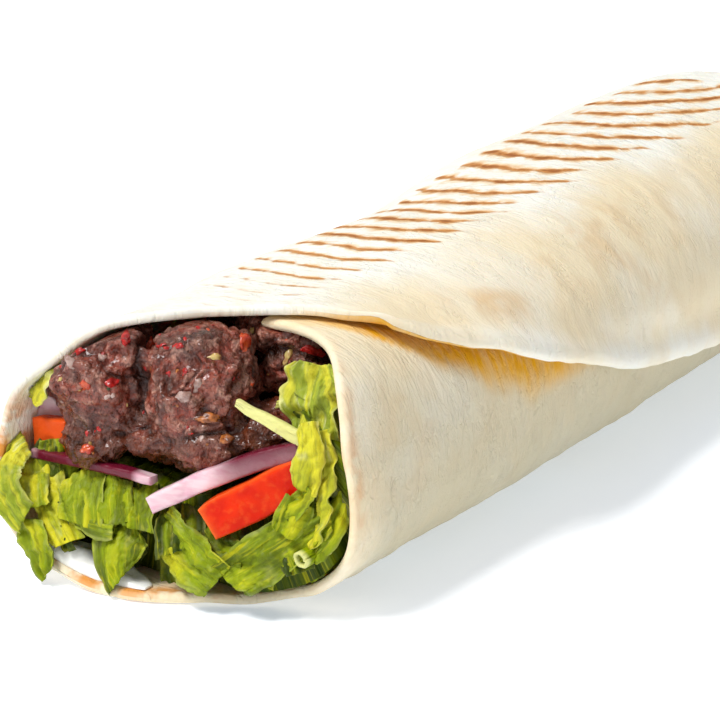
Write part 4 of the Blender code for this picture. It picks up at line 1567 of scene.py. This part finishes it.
@dataclass
class Lettuce:
    """The salad: a bed under the kebab, the named leaves at the mouth and loose shreds between them."""

    form: RollForm
    bed_front: float = 2.5
    bed_back: float = 204.0
    bed_columns: int = 150
    bed_rows: int = 190
    first_arc: float = 140.0
    last_arc: float = 30.0
    loose: int = 30
    seed: int = 71
    rib: Slice = Slice((10.2, 2.0, 40.8), (25.0, 3.0, 35.6), 3.4, 1.8, taper=0.5, seed=4)
    curl: Slice = Slice((15.5, 8.0, 39.6), (25.6, 8.2, 36.6), 2.0, 1.2, bow=1.9, seed=5)
    ring_middle: Place = (28.2, -3.2, 14.2)
    ring_axis: Place = (0.3, 1.0, 0.2)
    ring_radius: float = 1.6
    ring_hole: float = 0.85
    ring_length: float = 7.0
    ring_bevel: float = 0.3
    ring_turns: float = 1.04
    ring_sides: int = 72
    finish: LeafFinish = LeafFinish()

    def build(self) -> list[bpy.types.Object]:
        """Makes the salad's pieces."""
        material = self.finish.paint()
        bed = self.bed()
        leaves = MeshBuild()
        for leaf in LEAVES:
            leaf.add_to(leaves, self.form)
        shreds = MeshBuild()
        for leaf in self.shreds():
            leaf.add_to(shreds, self.form)
        cuts = MeshBuild()
        for cut, pale in ((self.rib, 1.0), (self.curl, 0.45)):
            near, far, u, v = cut.grids()
            rib = np.clip(pale - 0.2 * u, 0, 1)
            cuts.add_sheet(near, far, rib=rib, tone=0.85, arc=3 * v * MM, station=15 * u * MM)
        self.add_ring(cuts)
        sliver = MeshBuild()
        SLIVER.add_to(sliver, self.form)
        return [
            bed.finish("lettuce_bed", material, "lettuce", "lettuce"),
            leaves.finish("lettuce_leaves", material, "lettuce", "lettuce"),
            shreds.finish("lettuce_shreds", material, "lettuce", "lettuce"),
            cuts.finish("lettuce_cuts", material, "lettuce", "lettuce"),
            sliver.finish("lettuce_top_sliver", material, "lettuce", "lettuce_sliver"),
        ]

    def bed(self) -> MeshBuild:
        """Makes the bed, ribbed as packed shreds are, and kept dark green: its own colour, and painted shade
        where it shows between the leaves.
        """
        form = self.form
        u, v = np.meshgrid(np.linspace(0, 1, self.bed_columns), np.linspace(0, 1, self.bed_rows))
        field = GradientNoise(72)
        arc = self.first_arc + (self.last_arc - self.first_arc) * u
        ragged = 2.5 * field.at(stack(u * 30, 0, 0), 2.0) * (1 - v)
        y = self.bed_front + (self.bed_back - self.bed_front) * v + ragged + 2.5 * smoothstep((u - 0.6) / 0.3)
        outer = form.point(arc, y) - form.normal(arc, y) * 2.75
        angle = np.interp(arc, form.lengths, form.angles)
        x, z = superellipse(angle, 25.5, 15.5)
        inner = stack(-1.0 + x, y, 36.0 + z)
        reach = inner - outer
        depth = np.maximum(4.0, np.linalg.norm(reach, axis=-1))
        shreds = 1.3 * field.at(stack(arc, y, 0), (3.2, 9.0, 1.0))
        shreds = shreds + 0.9 * field.at(stack(arc, y, 9), (9.0, 2.4, 1.0))
        inner = outer + reach * (1 + shreds / depth)[..., None]
        # Kept dark: the lettuce's own colour, and painted shade where the bed shows between the leaves.
        tone = np.clip(0.14 + 0.3 * field.at(stack(arc, y, 3), 4.0), 0, 1)
        build = MeshBuild()
        rib = smoothstep(field.at(stack(arc, y, 6), (2.0, 9.0, 1.0))) * 0.25
        build.add_sheet(inner, outer, rib=rib, tone=tone, arc=arc * MM, station=y * MM)
        return build

    def shreds(self) -> list[Leaf]:
        """Draws the loose shreds that lie between and behind the leaves."""
        draw = np.random.default_rng(self.seed)
        shreds = []
        for number in range(self.loose):
            arc = draw.uniform(38, 146)
            depth, y = draw.uniform(4.0, 15.0), draw.uniform(-1.0, 7.0)
            spot = np.array(arc), np.array(y)
            place = self.form.point(*spot) - self.form.normal(*spot) * depth
            lean = draw.uniform(-5, 5, 2)
            length = draw.uniform(6, 11)
            root, middle, tip = (
                (place[0] + lean[0] * side, y - 2.5 * side + 0.2 * lean[1], place[2] - length * side)
                for side in (-0.5, 0.0, 0.5)
            )
            width, tone = draw.uniform(4, 8), float(draw.choice((0.05, 0.15, 0.3, 0.5)))
            widths, turn = (width, width + 1, width), draw.uniform(-30, 30)
            shreds.append(Leaf(root, middle, tip, widths, turn, seed=100 + number, tone=tone))
        return shreds

    def add_ring(self, build: MeshBuild) -> None:
        """Adds the curled-up shred that is seen end on."""
        middle, axis = np.array(self.ring_middle), unit(np.array(self.ring_axis))
        up = unit(np.array([0, 0, 1.0]) - axis * axis[2])
        side = np.cross(axis, up)
        round_it = np.linspace(0, 2 * math.pi * self.ring_turns, self.ring_sides)
        turn, along = np.meshgrid(round_it, shares_with_close_edges(self.ring_length, 0.35, True))
        wobble = 1 + 0.10 * np.sin(2 * turn + 0.6) + 0.05 * np.sin(5 * turn)
        spoke = side * np.cos(turn)[..., None] + up * np.sin(turn)[..., None]
        climb = 0.25 * turn / math.pi
        near = np.minimum(along, 1 - along) * self.ring_length
        bevel = self.ring_bevel * (1 - rounded(near, self.ring_bevel))
        line = middle + axis * (along * self.ring_length)[..., None]
        outer = line + spoke * (self.ring_radius * wobble + climb - bevel)[..., None]
        inner = line + spoke * (self.ring_hole * wobble + climb + bevel)[..., None]
        place = {"arc": turn * self.ring_radius * MM, "station": along * self.ring_length * MM}
        build.add_sheet(outer, inner, rib=np.clip(1.2 - near, 0, 0.8), tone=0.5, **place)


# Tomato, onion and sauce


@dataclass
class Slices:
    """The cut tomato and onion that show at the mouth."""

    tomato_right: Slice = Slice((8.6, -5.6, 17.9), (27.2, 2.4, 29.8), 7.8, 6.0, seed=1)
    tomato_left: Slice = Slice((-36.8, 1.0, 26.2), (-28.5, 0.8, 26.8), 7.0, 5.0, seed=2)
    tomato_far: Slice = Slice((31.6, 9.0, 25.5), (30.6, 9.5, 36.0), 4.2, 5.0, seed=3)
    onion_right: Slice = Slice((-5.0, -5.4, 19.0), (24.4, 3.0, 33.6), 3.9, 4.0, bow=0.9, seed=6)
    onion_left: Slice = Slice((-35.5, -1.8, 22.9), (-6.5, -2.6, 23.1), 2.0, 3.0, bow=0.3, seed=7)
    onion_far: Slice = Slice((-37.6, 4.0, 25.0), (-33.5, 4.4, 32.5), 6.0, 1.3, seed=8)

    def build(self) -> list[bpy.types.Object]:
        """Makes one piece for each slice."""
        tomato, onion = TomatoFinish().paint(), OnionFinish().paint()
        pieces = []
        cuts = {"right": self.tomato_right, "left": self.tomato_left, "far_right": self.tomato_far}
        for name, cut in cuts.items():
            near, far, u, v = cut.grids()
            length = float(np.linalg.norm(np.subtract(cut.end, cut.start)))
            # Paler at the cut left end, and a painted highlight along the top edge and, weaker, the bottom
            # edge.
            rim = np.minimum(np.minimum(u * length, (1 - v) * cut.height), v * cut.height * 1.5)
            pale = np.clip(0.55 * np.exp(-u * length / 0.8) + 0.35 * np.exp(-rim / 0.35), 0, 1)
            pale = np.maximum(pale, 0.4) if name == "left" else pale
            build = MeshBuild()
            build.add_sheet(near, far, cut=(pale, 0.6 * pale))
            pieces.append(build.finish("tomato_slice_" + name, tomato, "tomato", "tomato_" + name))
        skins = {
            "right": (self.onion_right, self.right_skin),
            "left": (self.onion_left, self.left_skin),
            "far_left": (self.onion_far, self.far_skin),
        }
        for name, (cut, skin) in skins.items():
            near, far, u, v = cut.grids()
            build = MeshBuild()
            build.add_sheet(near, far, skin=np.clip(skin(u, v), 0, 1))
            pieces.append(build.finish("onion_slice_" + name, onion, "onion", "onion_" + name))
        return pieces

    @staticmethod
    def right_skin(u: Array, v: Array) -> Array:
        """Darkens the right slice of onion towards its far end, and a little along its lower edge."""
        return smoothstep((u - 0.38) / 0.26) * (0.65 + 0.35 * v) + 0.25 * (1 - v) ** 6

    @staticmethod
    def left_skin(u: Array, v: Array) -> Array:
        """Darkens the left slice of onion, all but its right end."""
        return 0.5 + 0.6 * smoothstep(u / 0.1) - 0.9 * smoothstep((u - 0.82) / 0.1)

    @staticmethod
    def far_skin(u: Array, v: Array) -> Array:
        """Draws the skin along the top of the far slice of onion."""
        return 0.1 + 0.7 * smoothstep((v - 0.82) / 0.12)


@dataclass
class Sauce:
    """White sauce on the bread, under the lettuce at the mouth."""

    form: RollForm
    bread_thickness: float = 2.2
    first_arc: float = 121.0
    arc_span: float = 27.0
    from_rim: float = 1.3
    reach: float = 9.0
    columns: int = 90
    rows: int = 44
    finish: SauceFinish = SauceFinish()

    def build(self) -> bpy.types.Object:
        """Makes the sauce."""
        u, v = np.meshgrid(np.linspace(0, 1, self.columns), np.linspace(0, 1, self.rows))
        field = GradientNoise(81)
        arc = self.first_arc - self.arc_span * u
        reach = self.reach * (0.3 + 0.7 * np.sin(math.pi * u) ** 0.7)
        y = self.form.front_rim(arc) + self.from_rim + reach * v
        y = y + field.at(stack(u * 18, v * 2, 0), 4.5) * v
        dome = rounded(v, 0.42) * (1 - v) ** 0.3
        crest = np.sin(math.pi * (0.02 + 0.96 * u)) ** 0.5 * dome
        mounds = 2.2 * bell((u - 0.28) / 0.25) + 1.6 * bell((u - 0.72) / 0.2)
        level = 0.15 + crest * (2.2 + mounds + 1.2 * field.at(stack(arc, y, 0), 3.6))
        point, out = self.form.point(arc, y), self.form.normal(arc, y)
        top = point - out * (self.bread_thickness + np.maximum(0.3, level))[..., None]
        under = point - out * (self.bread_thickness + 0.12)
        build = MeshBuild()
        build.add_sheet(top, under)
        return build.finish("sauce_smear", self.finish.paint(), "sauce", "sauce")


# Studio


@dataclass
class Studio:
    """A white floor, a soft key light from the upper left and the photograph's camera."""

    azimuth: float = 32.0
    elevation: float = 19.0
    distance: float = 1000.0
    aim: Place = (-2.7, 68.0, 28.0)
    lens: float = 245.0
    floor_side: float = 24.0

    def build(self) -> None:
        """Makes the floor, the lights and the camera."""
        bpy.context.scene.view_settings.view_transform = "Standard"
        self.floor()
        self.sky()
        self.sun("key", 1.18, 18, 326, 64)
        self.sun("fill", 0.22, 40, 345, 34)
        self.glint()
        self.camera()

    def floor(self) -> None:
        """Makes the floor."""
        paint = Paint("floor")
        paint.relief(paint.grain(60, 2), 0.02)
        material = paint.finish(
            paint.mix(paint.fade(paint.grain(300, 2), 0.3, 0.7), (252, 252, 253), (253, 253, 254)),
            0.9,
            Emission_Color=(0.72, 0.84, 1.0, 1.0),
            Emission_Strength=0.38,
            Specular_IOR_Level=0.0,
        )
        half = self.floor_side / 2
        mesh = bpy.data.meshes.new("floor")
        corners = [(-half, -half, 0), (half, -half, 0), (half, half, 0), (-half, half, 0)]
        mesh.from_pydata(corners, [], [(0, 1, 2, 3)])
        mesh.materials.append(material)
        floor = bpy.data.objects.new("floor", mesh)
        floor.location.z = -0.0002
        show(floor)

    @staticmethod
    def sky() -> None:
        """Makes the even white surroundings."""
        world = bpy.data.worlds.new("surroundings")
        world.use_nodes = True
        world.node_tree.nodes["Background"].inputs["Color"].default_value = (1.0, 1.0, 1.0, 1.0)
        world.node_tree.nodes["Background"].inputs["Strength"].default_value = 0.42
        bpy.context.scene.world = world

    @staticmethod
    def toward(azimuth: float, elevation: float) -> Vector:
        """Gives the direction to a place round the wrap: azimuth 0 is before the mouth, 90 at its right."""
        a, e = math.radians(azimuth), math.radians(elevation)
        return Vector((math.sin(a) * math.cos(e), -math.cos(a) * math.cos(e), math.sin(e)))

    def sun(self, name: str, strength: float, softness: float, azimuth: float, elevation: float) -> None:
        """Makes a wide, distant light.

        Args:
            name: Its name.
            strength: Its strength.
            softness: How wide it is, in degrees.
            azimuth: Where it stands round the wrap.
            elevation: How high it stands.
        """
        light = bpy.data.lights.new(name, "SUN")
        light.energy = strength
        light.angle = math.radians(softness)
        lamp = bpy.data.objects.new(name, light)
        lamp.rotation_mode = "QUATERNION"
        lamp.rotation_quaternion = (-self.toward(azimuth, elevation)).to_track_quat("-Z", "Y")
        show(lamp)

    def glint(self) -> None:
        """Makes the small window-like light whose reflections glisten on the filling."""
        light = bpy.data.lights.new("glint", "AREA")
        light.size = 0.25
        light.energy = 6.0
        lamp = bpy.data.objects.new("glint", light)
        lamp.rotation_mode = "QUATERNION"
        toward = self.toward(346, 54)
        lamp.location = toward * 1.2
        lamp.rotation_quaternion = (-toward).to_track_quat("-Z", "Y")
        show(lamp)

    def camera(self) -> None:
        """Makes the camera at the photograph's viewing angle."""
        data = bpy.data.cameras.new("camera")
        data.lens = self.lens
        data.sensor_width = 36.0
        data.clip_start, data.clip_end = 0.05, 50.0
        camera = bpy.data.objects.new("camera", data)
        toward = self.toward(self.azimuth, self.elevation)
        aim = Vector(self.aim) + Vector(MeshBuild.shift)
        camera.location = (aim + toward * self.distance) * MM
        camera.rotation_mode = "QUATERNION"
        camera.rotation_quaternion = (-toward).to_track_quat("-Z", "Y")
        show(camera)
        bpy.context.scene.camera = camera


FLECKS = (
    Fleck(FleckKind.CHILLI, -13.6, 50.4, 6.0, 2.0, 10),
    Fleck(FleckKind.PEPPER, -8.2, 49.8, 3.2, 2.4, 60),
    Fleck(FleckKind.CHILLI, -16.8, 40.6, 2.8, 1.8, 170),
    Fleck(FleckKind.PEPPER, -22.7, 39.1, 2.6, 2.4, 80),
    Fleck(FleckKind.PEPPER, -22.6, 25.9, 2.8, 2.2, 20),
    Fleck(FleckKind.CHILLI, -20.3, 30.6, 2.2, 0.9, 0),
    Fleck(FleckKind.CHILLI, -1.3, 51.0, 2.4, 1.2, 5),
    Fleck(FleckKind.CHILLI, 0.1, 45.9, 1.6, 1.0, 80),
    Fleck(FleckKind.CHILLI, -5.4, 50.4, 2.4, 1.0, 40),
    Fleck(FleckKind.CHILLI, -24.7, 45.5, 2.6, 1.3, 30),
    Fleck(FleckKind.PEPPER, 13.7, 54.4, 4.2, 3.0, 50),
    Fleck(FleckKind.SEED, 14.8, 56.8, 2.2, 1.8, 50),
    Fleck(FleckKind.CHILLI, 29.2, 55.6, 5.0, 1.9, 160),
    Fleck(FleckKind.SEED, 23.3, 53.2, 3.4, 1.5, 65),
    Fleck(FleckKind.SEED, 6.5, 50.1, 3.0, 1.4, 10),
    Fleck(FleckKind.FAT, -0.3, 40.8, 3.4, 2.2, 20),
    Fleck(FleckKind.FAT, 2.8, 43.8, 2.8, 1.9, 60),
    Fleck(FleckKind.FAT, -19.5, 45.2, 3.0, 1.8, 30),
    Fleck(FleckKind.FAT, -26.2, 43.2, 3.2, 1.7, 120),
    Fleck(FleckKind.CRISP, 5.2, 37.6, 4.8, 2.2, 10),
    Fleck(FleckKind.CRISP, 9.1, 34.0, 3.8, 2.0, 20),
    Fleck(FleckKind.CRISP, -32.4, 31.2, 4.2, 3.6, 30),
    Fleck(FleckKind.CRISP, -30.4, 32.4, 3.6, 3.0, 80),
)


def main() -> None:
    """Builds the wrap's pieces in order and reports each."""
    logging.basicConfig(level=logging.INFO, format="%(message)s")
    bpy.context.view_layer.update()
    solid = Flatbread(RollForm())
    MeshBuild.shift = np.array(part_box("flatbread")[0]) / MM - solid.solid_low_corner()
    form = RollForm(mouth_sag=2.0)
    bread = Flatbread(form)
    LOG.info("the packed frame lies %s mm from the working frame", np.round(MeshBuild.shift, 3).tolist())
    bread.build()
    kebab = Kebab(form).build()
    KebabFlecks(kebab, FLECKS).build()
    Lettuce(form).build()
    Slices().build()
    Sauce(form).build()
    Studio().build()


if __name__ == "__main__":
    main()
